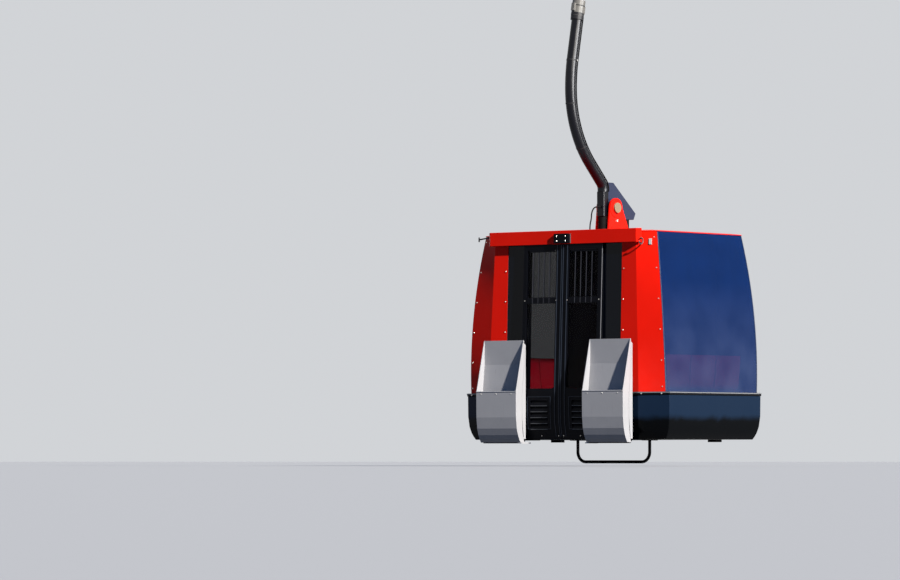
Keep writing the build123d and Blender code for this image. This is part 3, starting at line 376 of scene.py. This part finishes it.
def studs(name, seats, radius, height, body, sides=12):
    """Zinc rivet or bolt heads on a surface: seats is a list of (place, outward direction)."""
    places = bpy.data.meshes.new(f"{name}_places")
    places.from_pydata([place for place, facing in seats], [], [])
    facings = places.attributes.new("facing", "FLOAT_VECTOR", "POINT")
    facings.data.foreach_set("vector", [c for place, facing in seats for c in facing])
    heads = bpy.data.objects.new(name, places)
    bpy.context.scene.collection.objects.link(heads)
    tree = bpy.data.node_groups.new(f"{name}_tree", "GeometryNodeTree")
    socket = tree.interface.new_socket
    socket("Places", in_out="INPUT", socket_type="NodeSocketGeometry")
    head_radius = socket("Head radius", in_out="INPUT", socket_type="NodeSocketFloat")
    head_height = socket("Head height", in_out="INPUT", socket_type="NodeSocketFloat")
    socket("Heads", in_out="OUTPUT", socket_type="NodeSocketGeometry")
    nodes, links = tree.nodes, tree.links
    given = nodes.new("NodeGroupInput")
    points = nodes.new("GeometryNodeMeshToPoints")
    links.new(given.outputs["Places"], points.inputs["Mesh"])
    shank = nodes.new("GeometryNodeMeshCone")
    shank.inputs["Vertices"].default_value = sides
    shank.inputs["Side Segments"].default_value = 1
    links.new(given.outputs["Head radius"], shank.inputs["Radius Bottom"])
    crown = nodes.new("ShaderNodeMath")
    crown.operation = "MULTIPLY"
    crown.inputs[1].default_value = crown_share
    links.new(given.outputs["Head radius"], crown.inputs[0])
    links.new(crown.outputs[0], shank.inputs["Radius Top"])
    links.new(given.outputs["Head height"], shank.inputs["Depth"])
    outward = nodes.new("GeometryNodeInputNamedAttribute")
    outward.data_type = "FLOAT_VECTOR"
    outward.inputs["Name"].default_value = "facing"
    turn = nodes.new("FunctionNodeAlignRotationToVector")
    turn.axis = "Z"
    links.new(outward.outputs["Attribute"], turn.inputs["Vector"])
    spread = nodes.new("GeometryNodeInstanceOnPoints")
    links.new(points.outputs["Points"], spread.inputs["Points"])
    links.new(shank.outputs["Mesh"], spread.inputs["Instance"])
    links.new(turn.outputs["Rotation"], spread.inputs["Rotation"])
    real = nodes.new("GeometryNodeRealizeInstances")
    links.new(spread.outputs["Instances"], real.inputs["Geometry"])
    coat = nodes.new("GeometryNodeSetMaterial")
    coat.inputs["Material"].default_value = bright_zinc
    links.new(real.outputs["Geometry"], coat.inputs["Geometry"])
    result = nodes.new("NodeGroupOutput")
    links.new(coat.outputs["Geometry"], result.inputs["Heads"])
    pattern = heads.modifiers.new("heads", "NODES")
    pattern.node_group = tree
    pattern[head_radius.identifier] = radius
    pattern[head_height.identifier] = height
    bpy.context.view_layer.update()
    evaluated = heads.evaluated_get(bpy.context.evaluated_depsgraph_get())
    made = bpy.data.meshes.new_from_object(evaluated)
    heads.modifiers.clear()
    heads.data = made
    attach(heads, body)


def seat_on(node, start, direction):
    """Where a line from outside first meets a CAD piece, and which way its face looks there."""
    source = frame["nodes"][node].data
    tree = BVHTree.FromPolygons(
        [vertex.co for vertex in source.vertices], [polygon.vertices for polygon in source.polygons]
    )
    place, facing = tree.ray_cast(Vector(start), Vector(direction).normalized())[:2]
    if facing.dot(Vector(direction)) > 0:
        facing = -facing
    return place, facing


def seat_along_y(node, x, z, side_y=-1):
    """The seat that a level line meets from 2 m off the door side, or off the back."""
    return seat_on(node, (x, side_y * 2, z), (0, -side_y, 0))


def seat_along_x(node, y, z, side_x):
    """The seat that a level line meets from 3 m off one end."""
    return seat_on(node, (side_x * 3, y, z), (-side_x, 0, 0))


fold_foot_y, fold_lean, fold_bow = 0.720, 0.056, 0.034


def fold_y(share):
    """How far from the middle the fold beside an end window is, at a share of its height."""
    return fold_foot_y - share * fold_lean + 4 * fold_bow * share * (1 - share)


rivet_top_z, rivet_foot_z = -2.705, -4.112
rivet_pitch = 0.29
rivet_count = 6
rivet_from_door = 0.025
rivet_from_glass = 0.020
fold_inset = 0.020
rivet_seats = []
for corner, side_x, side_y in panel_corners:
    node = f"corner_panel_{corner}"
    low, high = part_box(node)
    door_x = (low.x if side_x > 0 else high.x) + side_x * rivet_from_door
    glass_low, glass_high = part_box(f"end_window_{'right' if side_x > 0 else 'left'}")
    for i in range(rivet_count):
        z = max(rivet_top_z - i * rivet_pitch, rivet_foot_z)
        if side_y > 0 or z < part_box("door_header")[0].z:
            rivet_seats.append(seat_along_y(node, door_x, z, side_y))
        share = (z - glass_low.z) / (glass_high.z - glass_low.z)
        fold = seat_along_x(node, side_y * (fold_y(share) - fold_inset), z, side_x)[0]
        rivet_seats.append(seat_along_y(node, fold.x - side_x * rivet_from_glass, z, side_y))
studs("panel_rivets", rivet_seats, radius=0.0065, height=0.004, body="cabin")

# On the header: the flange beside the switch box, the release rod at one end and the pull hook at
# the other, all of steel. A white plastic clip is riveted to the panel beside the end window.


def set_on(name, shell, material, body, smooth=0):
    """A small piece made from its shell, with its faces turned outwards, on one body."""
    bmesh.ops.recalc_face_normals(shell, faces=shell.faces)
    mesh = bpy.data.meshes.new(name)
    shell.to_mesh(mesh)
    shell.free()
    mesh.materials.append(material)
    if smooth:
        mesh.polygons.foreach_set("use_smooth", [True] * len(mesh.polygons))
        mesh.set_sharp_from_angle(angle=radians(smooth))
    piece = bpy.data.objects.new(name, mesh)
    bpy.context.scene.collection.objects.link(piece)
    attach(piece, body)


def skin_over(shell, sections, closed=False):
    """Faces from each section to the next, which end in caps or run on into the first."""
    sides = len(sections[0])
    following = sections[1:] + sections[:1] if closed else sections[1:]
    for near, far in zip(sections, following):
        for i in range(sides):
            shell.faces.new((near[i], near[(i + 1) % sides], far[(i + 1) % sides], far[i]))
    if not closed:
        shell.faces.new(sections[0])
        shell.faces.new(sections[-1])


def strips(name, runs, material, body):
    """Flat strips and small plates: each run is (line of places, its width, its thickness)."""
    shell = bmesh.new()
    for line, width, thickness in runs:
        half, out = Vector(width) / 2, Vector(thickness)
        sections = []
        for place in line:
            place = Vector(place)
            corners = (place - half, place + half, place + half + out, place - half + out)
            sections.append([shell.verts.new(corner) for corner in corners])
        skin_over(shell, sections)
    set_on(name, shell, material, body)


def rods(name, lines, radius, material, body, sides=10):
    """Round wires and rods through a few places each, with closed ends."""
    shell = bmesh.new()
    for line in lines:
        places = [Vector(place) for place in line]
        sections = []
        for i, place in enumerate(places):
            before, after = places[max(i - 1, 0)], places[min(i + 1, len(places) - 1)]
            along = (after - before).normalized()
            first = Vector((0, 0, 1)) if abs(along.z) < 0.9 else Vector((1, 0, 0))
            second = along.cross(first).normalized()
            first = second.cross(along)
            turns = [2 * pi * j / sides for j in range(sides)]
            sections.append([
                shell.verts.new(place + radius * (cos(turn) * first + sin(turn) * second))
                for turn in turns
            ])
        skin_over(shell, sections)
    set_on(name, shell, material, body, smooth=40)


header_low, header_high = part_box("door_header")
white_plastic = enamel("white_plastic", (0.38, 0.38, 0.37), roughness=0.4)
satin_steel = enamel("satin_steel", (0.06, 0.06, 0.063), roughness=0.35, shine=0.3)
dark_steel = enamel("dark_steel", (0.012, 0.012, 0.014), roughness=0.4)
flange_x, flange_foot_z, flange_top_z = 0.101, -2.741, -2.653
flange_thickness, flange_depth = 0.008, 0.010
flange_line = [(flange_x, header_low.y, z) for z in (flange_foot_z, flange_top_z)]
header_flange = (flange_line, (flange_thickness, 0, 0), (0, -flange_depth, 0))
strips("header_flange", [header_flange], satin_steel, "cabin")
control_y = -0.772
rod_routes = [
    # x and z along the release rod, and along its cross bar
    ((-0.920, -2.667), (-0.985, -2.676), (-1.036, -2.682)),
    ((-1.036, -2.660), (-1.036, -2.704)),
]
rod_radius = 0.007
rod_lines = [[(x, control_y, z) for x, z in route] for route in rod_routes]
rods("release_rod", rod_lines, rod_radius, dark_steel, "cabin")
hook_radius, hook_wire_radius = 0.030, 0.006
hook_gap, hook_z = 0.006, -2.742
hook_middle = Vector((header_high.x + hook_gap, control_y, hook_z))
hook_start, hook_sweep, hook_steps = 110, -290, 14
hook_line = []
for i in range(hook_steps + 1):
    turn = radians(hook_start + hook_sweep * i / hook_steps)
    hook_line.append(hook_middle + hook_radius * Vector((0, cos(turn), sin(turn))))
rods("pull_hook", [hook_line], hook_wire_radius, satin_steel, "cabin")
clip_ends = ((0.987, -2.720), (0.992, -2.775))
clip_line = [seat_along_y("corner_panel_door_side_right", x, z)[0] for x, z in clip_ends]
clip_width, clip_thickness = (0.026, 0.008, 0), (0.003, -0.010, 0)
panel_clip = (clip_line, clip_width, clip_thickness)
strips("panel_clip", [panel_clip], white_plastic, "cabin")

# Windows: one large bent sheet of deep blue tinted acrylic at each end, glued on behind the edges
# of the corner panels with a rubber bead. The panes beside the doors and the wide one at the back
# are nearly black.


def tinted_sheet(name, colour, clearness, roughness, shine, haze=0.0):
    """Tinted glazing: a body colour, a share of light that passes, and dust low down."""
    material, tree, shader, place = new_finish(name)
    film = clouds(tree, place, scale=3.5, detail=6)
    tone = between(tree, film, [c * 0.75 for c in colour], [c * 1.25 for c in colour])
    dust = settled_dust(tree, place, film, start_z=-3.1, foot_z=-4.2, most=haze)
    dust_colour = (0.055, 0.075, 0.150)
    tree.links.new(between(tree, dust, tone, dust_colour), shader.inputs["Base Color"])
    wiped = ranged(tree, film, roughness * 0.5, roughness * 2)
    tree.links.new(wiped, shader.inputs["Roughness"])
    shader.inputs["Alpha"].default_value = 1 - clearness
    shader.inputs["Specular IOR Level"].default_value = shine
    return material


blue_acrylic = tinted_sheet(
    "blue_acrylic", (0.0012, 0.016, 0.085), clearness=0.34, roughness=0.05, shine=0.10, haze=0.9
)
smoked_acrylic = tinted_sheet(
    "smoked_acrylic", (0.001, 0.001, 0.002), clearness=0.62, roughness=0.04, shine=0.08
)
dark_acrylic = tinted_sheet(
    "dark_acrylic", (0.001, 0.002, 0.005), clearness=0.03, roughness=0.04, shine=0.15
)
for side in ("right", "left"):
    finished(f"end_window_{side}", blue_acrylic, edge=0.002, crease=20)
    finished(f"side_pane_{side}", dark_acrylic, edge=0)
finished("back_window", dark_acrylic, edge=0)
bead_rubber = rubber("bead_rubber", (0.055, 0.065, 0.095), roughness=0.5)
bead_width, bead_thickness = 0.007, 0.003
bead_inset = 0.008
bead_steps = 12
bead_start, bead_share = 0.004, 0.992
bead_runs = []
for side_x, side in ((1, "right"), (-1, "left")):
    low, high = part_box(f"end_window_{side}")
    for side_y in (-1, 1):
        line = []
        for i in range(bead_steps + 1):
            share = bead_start + bead_share * i / bead_steps
            y = side_y * (fold_y(share) - bead_inset)
            z = low.z + share * (high.z - low.z)
            line.append(seat_along_x(f"end_window_{side}", y, z, side_x)[0])
        bead_runs.append((line, (0, bead_width, 0), (side_x * bead_thickness, 0, 0)))
strips("window_beads", bead_runs, bead_rubber, "cabin")

# Door frame and belt: black powder-coated posts, sill and belt rim, with an alloy strip and hex
# bolts along the rim. The skirt below is a glossy black moulded bumper in three pieces, and the
# floor pan between them is grey painted steel.
black_powder = enamel("black_powder", (0.0022, 0.0026, 0.0045), roughness=0.45, shine=0.06)


def moulded_shell(name):
    """Black gelcoat with faint swirls; its upper half has a painted blue-grey sky reflection."""
    material, tree, shader, place = new_finish(name)
    swirls = clouds(tree, place, scale=3, detail=6, distortion=1.2)
    swirl_reach = 0.07
    wavy_height = tree.nodes.new("ShaderNodeMath")
    wavy_height.operation = "MULTIPLY_ADD"
    wavy_height.inputs[1].default_value = swirl_reach
    tree.links.new(swirls, wavy_height.inputs[0])
    tree.links.new(height_of(tree, place), wavy_height.inputs[2])
    # The upper half is painted blue-grey as a reflection of the sky, with a wavy lower edge.
    painted_reflection_share = ranged(tree, wavy_height.outputs[0], 0, 1, start=-4.405, end=-4.325, soft=True)
    gelcoat_black, painted_sky_reflection = (0.0006, 0.0010, 0.0016), (0.0055, 0.0145, 0.0340)
    tone = between(tree, painted_reflection_share, gelcoat_black, painted_sky_reflection)
    tree.links.new(tone, shader.inputs["Base Color"])
    gloss = ranged(tree, swirls, 0.16, 0.30)
    tree.links.new(gloss, shader.inputs["Roughness"])
    shader.inputs["Specular IOR Level"].default_value = 0.06
    return material


black_shell = moulded_shell("black_shell")
grey_floor = enamel("grey_floor", (0.20, 0.20, 0.20), roughness=0.5, dust=0.2)
for side in ("right", "left"):
    finished(f"door_post_{side}", black_powder)
    finished(f"skirt_{side}_end", black_shell, edge=0.003, crease=12)
finished("skirt_back", black_shell, edge=0.003, crease=12)
finished("door_sill", black_powder)
finished("belt_rim", black_powder, edge=0.006)
finished("floor_pan", grey_floor)

rim_low, rim_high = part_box("belt_rim")
level_tolerance, front_tolerance = 0.0005, 0.001
rim_tops = sorted({
    (round(vertex.co.x, 4), round(vertex.co.y, 4))
    for vertex in frame["nodes"]["belt_rim"].data.vertices
    if vertex.co.z > rim_high.z - level_tolerance
})
rim_outline = [Vector(rim_tops[i]) for i in convex_hull_2d([Vector(place) for place in rim_tops])]
rim_outline.sort(key=lambda place: (atan2(place.y, place.x) + pi / 2) % (2 * pi))
door_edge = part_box("door_leaf_right")[1].x
beside_door = [
    place
    for place in rim_outline
    if place.y > rim_low.y + front_tolerance or abs(place.x) > door_edge
]
rim_outline = [Vector((door_edge, rim_low.y)), *beside_door, Vector((-door_edge, rim_low.y))]
strip_proud = 0.0015
strip_top_z, strip_foot_z = rim_high.z - 0.0015, rim_high.z - 0.0105
rim_strip = bmesh.new()
rim_sections = []
for i, place in enumerate(rim_outline):
    before = (place - rim_outline[max(i - 1, 0)]).normalized()
    after = (rim_outline[min(i + 1, len(rim_outline) - 1)] - place).normalized()
    along = (before + after).normalized()
    out = Vector((along.y, -along.x, 0)) * strip_proud
    foot, top = (Vector((place.x, place.y, z)) for z in (strip_foot_z, strip_top_z))
    rim_sections.append(
        [rim_strip.verts.new(corner) for corner in (foot, top, top + out, foot + out)]
    )
skin_over(rim_strip, rim_sections)
bare_aluminium = enamel("bare_aluminium", (0.15, 0.155, 0.165), roughness=0.35, shine=0.4)
set_on("rim_strip", rim_strip, bare_aluminium, "cabin")
rim_bolt_z = rim_low.z + 0.013
rim_bolt_rows = {1: (0.76, 0.95, 1.15), -1: (0.95, 1.15)}
rim_bolts = []
for side_x in (1, -1):
    for side_y, row in rim_bolt_rows.items():
        rim_bolts += [seat_along_y("belt_rim", side_x * x, rim_bolt_z, side_y) for x in row]
studs("rim_bolts", rim_bolts, radius=0.009, height=0.007, body="cabin", sides=6)

# Sliding leaves: black pressed frames with smoked panes, a grille of flat bars in front of the
# upper pane and a louvred vent in the lower panel. They hang from the track in the header.
grille_grey = enamel("grille_grey", (0.045, 0.046, 0.056), roughness=0.4)
edge_alloy = enamel("edge_alloy", (0.10, 0.105, 0.115), roughness=0.3, shine=0.3)
# The leaves' raised beads are real; their blue-grey colour is a painted bluish highlight along
# them.
bead_highlight_blue = enamel("bead_highlight_blue", (0.018, 0.024, 0.036), roughness=0.3)
leaf_top_z, leaf_foot_z, leaf_steps = -2.76, -4.58, 14
leaf_heights = [
    leaf_top_z - i * (leaf_top_z - leaf_foot_z) / leaf_steps for i in range(leaf_steps + 1)
]
front_probe_x = 0.02
bar_x = (0.155, 0.223, 0.289, 0.357)
bar_width, bar_face_thickness = 0.006, 0.001
bar_stretches = ((-2.826, -2.95, -3.10, -3.248), (-3.257, -3.309))
edge_width, edge_thickness = 0.010, 0.0015
long_bead_x = (0.010, 0.060)
long_bead_width, long_bead_height = 0.007, 0.005
panel_bead_x = (0.112, 0.392)
panel_top_z, panel_foot_z = -4.200, -4.505
panel_bead_width, panel_bead_height = 0.005, 0.004
blade_count, blade_pitch, first_blade_z = 5, 0.056, -4.2875
blade_x, blade_middle_x, blade_probe_rise = (0.150, 0.354), 0.252, 0.001
lip_rise, lip_width, lip_thickness = 0.0015, 0.004, 0.001
leaf_bolt_rows = [(-3.283, (0.066, 0.449)), (-4.570, (0.03, 0.235, 0.44))]
for side, side_x in (("right", 1), ("left", -1)):
    leaf, body = f"door_leaf_{side}", f"door_{side}"
    finished(leaf, black_powder, edge=0.0025, crease=20)
    finished(f"door_glass_{side}", smoked_acrylic, edge=0)
    grille = f"door_grille_{side}"
    finished(grille, black_powder, edge=0.001)
    bar_faces = []
    for x in bar_x:
        for stretch in bar_stretches:
            line = [seat_along_y(grille, side_x * x, z)[0] for z in stretch]
            bar_faces.append((line, (bar_width, 0, 0), (0, -bar_face_thickness, 0)))
    strips(f"bar_faces_{side}", bar_faces, grille_grey, body)

    leaf_low, leaf_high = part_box(leaf)
    outer_x = leaf_high.x if side_x > 0 else leaf_low.x
    front = [seat_along_y(leaf, side_x * front_probe_x, z)[0].y for z in leaf_heights]
    edge_line = [(outer_x, y + edge_width, z) for y, z in zip(front, leaf_heights)]
    edge_profile = (edge_line, (0, edge_width, 0), (side_x * edge_thickness, 0, 0))
    strips(f"edge_profile_{side}", [edge_profile], edge_alloy, body)

    beads = []
    for x in long_bead_x:
        line = [(side_x * x, y, z) for y, z in zip(front, leaf_heights)]
        beads.append((line, (long_bead_width, 0, 0), (0, -long_bead_height, 0)))
    middle_z = (panel_top_z + panel_foot_z) / 2
    panel_heights = (panel_top_z, middle_z, panel_foot_z)
    panel_y = {z: seat_along_y(leaf, side_x * front_probe_x, z)[0].y for z in panel_heights}
    upright_x = [side_x * x for x in panel_bead_x]
    for x in upright_x:
        line = [(x, panel_y[z], z) for z in panel_heights]
        beads.append((line, (panel_bead_width, 0, 0), (0, -panel_bead_height, 0)))
    for z in (panel_top_z, panel_foot_z):
        line = [(x, panel_y[z], z) for x in upright_x]
        beads.append((line, (0, 0, panel_bead_width), (0, -panel_bead_height, 0)))
    strips(f"leaf_beads_{side}", beads, bead_highlight_blue, body)

    lips = []
    for i in range(blade_count):
        z = first_blade_z - i * blade_pitch
        y = seat_along_y(leaf, side_x * blade_middle_x, z + blade_probe_rise)[0].y
        line = [(side_x * x, y, z + lip_rise) for x in blade_x]
        lips.append((line, (0, 0, lip_width), (0, -lip_thickness, 0)))
    strips(f"blade_lips_{side}", lips, edge_alloy, body)
    leaf_bolts = [seat_along_y(leaf, side_x * x, z) for z, row in leaf_bolt_rows for x in row]
    studs(f"leaf_bolts_{side}", leaf_bolts, radius=0.006, height=0.004, body=body, sides=6)
finished("door_track", grey_floor)
finished("header_box", black_powder, edge=0.003)
screw_x, screw_z = (-0.052, 0.052), (-2.675, -2.720)
box_screws = [seat_along_y("header_box", x, z) for x in screw_x for z in screw_z]
studs("header_box_screws", box_screws, radius=0.007, height=0.004, body="cabin")

# Ski boxes: folded pockets of pale grey painted sheet in front of the doors, with a rolled rim,
# rivets, a stiffening flange behind each cheek and a small foot. They hang on flat brackets.


def box_sheet(name, colour):
    """Pale painted sheet with the long scuffs that ski edges leave, and a little unevenness."""
    material, tree, shader, place = new_finish(name)
    squeeze = tree.nodes.new("ShaderNodeMapping")
    squeeze.inputs["Scale"].default_value = (90, 90, 4)
    tree.links.new(place, squeeze.inputs["Vector"])
    scuffs = clouds(tree, squeeze.outputs["Vector"], scale=1, detail=3)
    scuffed = ranged(tree, scuffs, 0, 0.35, start=0.62, end=0.78)
    patches = clouds(tree, place, scale=5, detail=6)
    tone = between(tree, patches, [c * 0.92 for c in colour], [c * 1.08 for c in colour])
    marked = between(tree, scuffed, tone, [c * 0.62 for c in colour])
    tree.links.new(marked, shader.inputs["Base Color"])
    sheen = ranged(tree, patches, 0.32, 0.52)
    tree.links.new(sheen, shader.inputs["Roughness"])
    shader.inputs["Specular IOR Level"].default_value = 0.12
    return material


grey_sheet = box_sheet("grey_sheet", (0.335, 0.335, 0.35))
flange_half = 0.0028
flange_inset, flange_gap = 0.0015, 0.0004
flange_back_y = -0.850
flange_tip_drop, flange_tip_depth, flange_shoulder_drop = 0.030, 0.004, 0.045
flange_heights = (-3.89, -4.04, -4.19, -4.40, -4.60)
foot_y, foot_depth, foot_thickness = -0.86, 0.14, 0.010
foot_reach = (-0.015, 0.025)
roll_z, roll_radius, roll_inset = -4.150, 0.0045, 0.001
box_rivet_x, box_rivet_drop = (0.06, 0.244, 0.428), 0.022
rim_rolls, box_rivets, box_feet = [], [], []
flange_shell = bmesh.new()
for side, side_x in (("right", 1), ("left", -1)):
    box = f"ski_box_{side}"
    finished(box, grey_sheet, edge=0.002, crease=4)
    box_low, box_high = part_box(box)
    inner_x, outer_x = (box_low.x, box_high.x) if side_x > 0 else (box_high.x, box_low.x)
    tip_z = box_high.z - flange_tip_drop
    shoulder_z = box_high.z - flange_shoulder_drop
    for x in (inner_x + side_x * flange_inset, outer_x - side_x * flange_inset):
        flange_sections = []
        for z in (tip_z, shoulder_z, *flange_heights):
            edge_y = seat_along_y(box, x, z, side_y=1)[0].y + flange_gap
            back_y = edge_y + flange_tip_depth if z == tip_z else flange_back_y
            corners = (
                (x - flange_half, edge_y, z),
                (x + flange_half, edge_y, z),
                (x + flange_half, back_y, z),
                (x - flange_half, back_y, z),
            )
            flange_sections.append([flange_shell.verts.new(corner) for corner in corners])
        skin_over(flange_shell, flange_sections)
    foot_line = [(inner_x + side_x * reach, foot_y, box_low.z) for reach in foot_reach]
    box_feet.append((foot_line, (0, foot_depth, 0), (0, 0, -foot_thickness)))
    roll_y = box_low.y + roll_inset
    rim_rolls.append(((inner_x, roll_y, roll_z), (outer_x, roll_y, roll_z)))
    for x in box_rivet_x:
        box_rivets.append(seat_along_y(box, inner_x + side_x * x, roll_z - box_rivet_drop))
rods("rim_rolls", rim_rolls, roll_radius, grey_sheet, "cabin")
studs("box_rivets", box_rivets, radius=0.005, height=0.003, body="cabin", sides=8)
set_on("cheek_flanges", flange_shell, grey_sheet, "cabin")
strips("box_feet", box_feet, grey_sheet, "cabin")
finished("ski_box_brackets", black_powder)

# Guide hoop and rest pads: a bent bar in black powder coat that a guide rail holds in the
# station, and two moulded rubber pads under the floor's back edge, bolted on from below.
finished("guide_hoop", black_powder, edge=0)
pad_rubber = rubber("pad_rubber", (0.004, 0.004, 0.004), roughness=0.7)
finished("rest_pads", pad_rubber)

# Benches across both ends: closed boxes of dark grey painted steel that stand on the floor, each
# with three moulded red plastic seats screwed to it side by side.
bench_grey = enamel("bench_grey", (0.02, 0.02, 0.022), roughness=0.5)
seat_plastic = enamel("seat_plastic", (0.90, 0.010, 0.04), roughness=0.35)
for side in ("right", "left"):
    finished(f"bench_{side}", bench_grey)
    finished(f"seats_{side}", seat_plastic, edge=0.003)

# Hanger: a bent steel tube in black gloss paint, with a welded foot and a blue-grey gusset that
# reaches the pivot bolt and the far buffer. A bright clamp collar with dark rings holds its top,
# and black straps hold the arm cable to it.
tube_black = enamel("tube_black", (0.0016, 0.0018, 0.0040), roughness=0.26, shine=0.28)
gusset_grey = enamel("gusset_grey", (0.017, 0.024, 0.054), roughness=0.45, shine=0.12)
yellow_zinc = enamel("yellow_zinc", (0.20, 0.165, 0.095), roughness=0.35, shine=0.35)
galvanised = enamel("galvanised", (0.25, 0.255, 0.265), roughness=0.45)
collar_zinc = enamel("collar_zinc", (0.125, 0.12, 0.11), roughness=0.35, shine=0.3)
finished("hanger_tube", tube_black, edge=0, crease=80)
finished("hanger_foot", tube_black)
finished("hanger_gusset", gusset_grey, edge=0.003)
finished("sway_buffers", pad_rubber, edge=0.004)
finished("pivot_bolt", yellow_zinc, edge=0.004)
finished("hanger_collar", collar_zinc, edge=0.003)
finished("hanger_head", galvanised, edge=0.003)
cheek_bolt_y, cheek_bolt_z = -0.052, -2.505
cheek_bolts = [
    seat_on("roof_bracket", (side_x, cheek_bolt_y, cheek_bolt_z), (-side_x, 0, 0))
    for side_x in (1, -1)
]
studs("cheek_bolts", cheek_bolts, radius=0.017, height=0.010, body="cabin", sides=6)


def bands(name, seats, material, body, sides=48):
    """Flat rings round a tube: each seat is (middle, axis, inner radius, width, thickness)."""
    shell = bmesh.new()
    for middle, axis, radius, width, thickness in seats:
        middle, axis = Vector(middle), Vector(axis).normalized()
        first = axis.orthogonal().normalized()
        second = axis.cross(first)
        outline = ((-1, 0), (1, 0), (1, thickness), (-1, thickness))
        sections = []
        for i in range(sides):
            around = cos(2 * pi * i / sides) * first + sin(2 * pi * i / sides) * second
            sections.append([
                shell.verts.new(middle + axis * width / 2 * end + around * (radius + out))
                for end, out in outline
            ])
        skin_over(shell, sections, closed=True)
    set_on(name, shell, material, body, smooth=30)


tube_radius = 0.0505
strap_heights = (-0.992, -1.400, -1.810)
strap_reach = 0.03
strap_radius, strap_width, strap_thickness = tube_radius - 0.001, 0.014, 0.003
straps = []
for z in strap_heights:
    middles = []
    for level in (z - strap_reach, z, z + strap_reach):
        near = seat_along_y("hanger_tube", 0, level)[0].y
        far = seat_along_y("hanger_tube", 0, level, side_y=1)[0].y
        middles.append(Vector((0, (near + far) / 2, level)))
    along = middles[2] - middles[0]
    straps.append((middles[1], along, strap_radius, strap_width, strap_thickness))
bands("arm_straps", straps, dark_steel, "cabin")
top_strap_middle = straps[0][0]
clip_seat = top_strap_middle + tube_radius * across_view
clip_half = Vector((0, 0, 0.008))
clip_width, clip_thickness = (0.007, 0.007, 0), (0.008, -0.005, 0)
strap_clip = ((clip_seat - clip_half, clip_seat + clip_half), clip_width, clip_thickness)
strips("strap_clip", [strap_clip], white_plastic, "cabin")
collar_lean = radians(11.2)
collar_middle = Vector((0, -0.5430, -0.4921))
collar_axis = Vector((0, sin(collar_lean), cos(collar_lean)))
collar_rings = [
    # along the collar from its middle, inner radius, width, thickness
    (-0.060, 0.0615, 0.026, 0.0012),
    (0.022, 0.0615, 0.010, 0.0012),
    (-0.094, 0.0495, 0.038, 0.0115),
]
collar_bands = [
    (collar_middle + collar_axis * along, collar_axis, radius, width, thickness)
    for along, radius, width, thickness in collar_rings
]
bands("collar_bands", collar_bands, dark_steel, "cabin")

# Grip: galvanised cast body and moving jaw on the rope, steel pins, and a running wheel with a
# dark plastic tyre.
cast_zinc = enamel("cast_zinc", (0.20, 0.205, 0.22), roughness=0.5)
tyre_plastic = rubber("tyre_plastic", (0.05, 0.05, 0.055), roughness=0.5)
finished("grip_body", cast_zinc, edge=0.004)
finished("moving_jaw", cast_zinc, edge=0.003)
finished("hanger_pin", bright_zinc, edge=0.003)
finished("jaw_pin", bright_zinc, edge=0.002)
finished("running_wheel", tyre_plastic, edge=0.002)
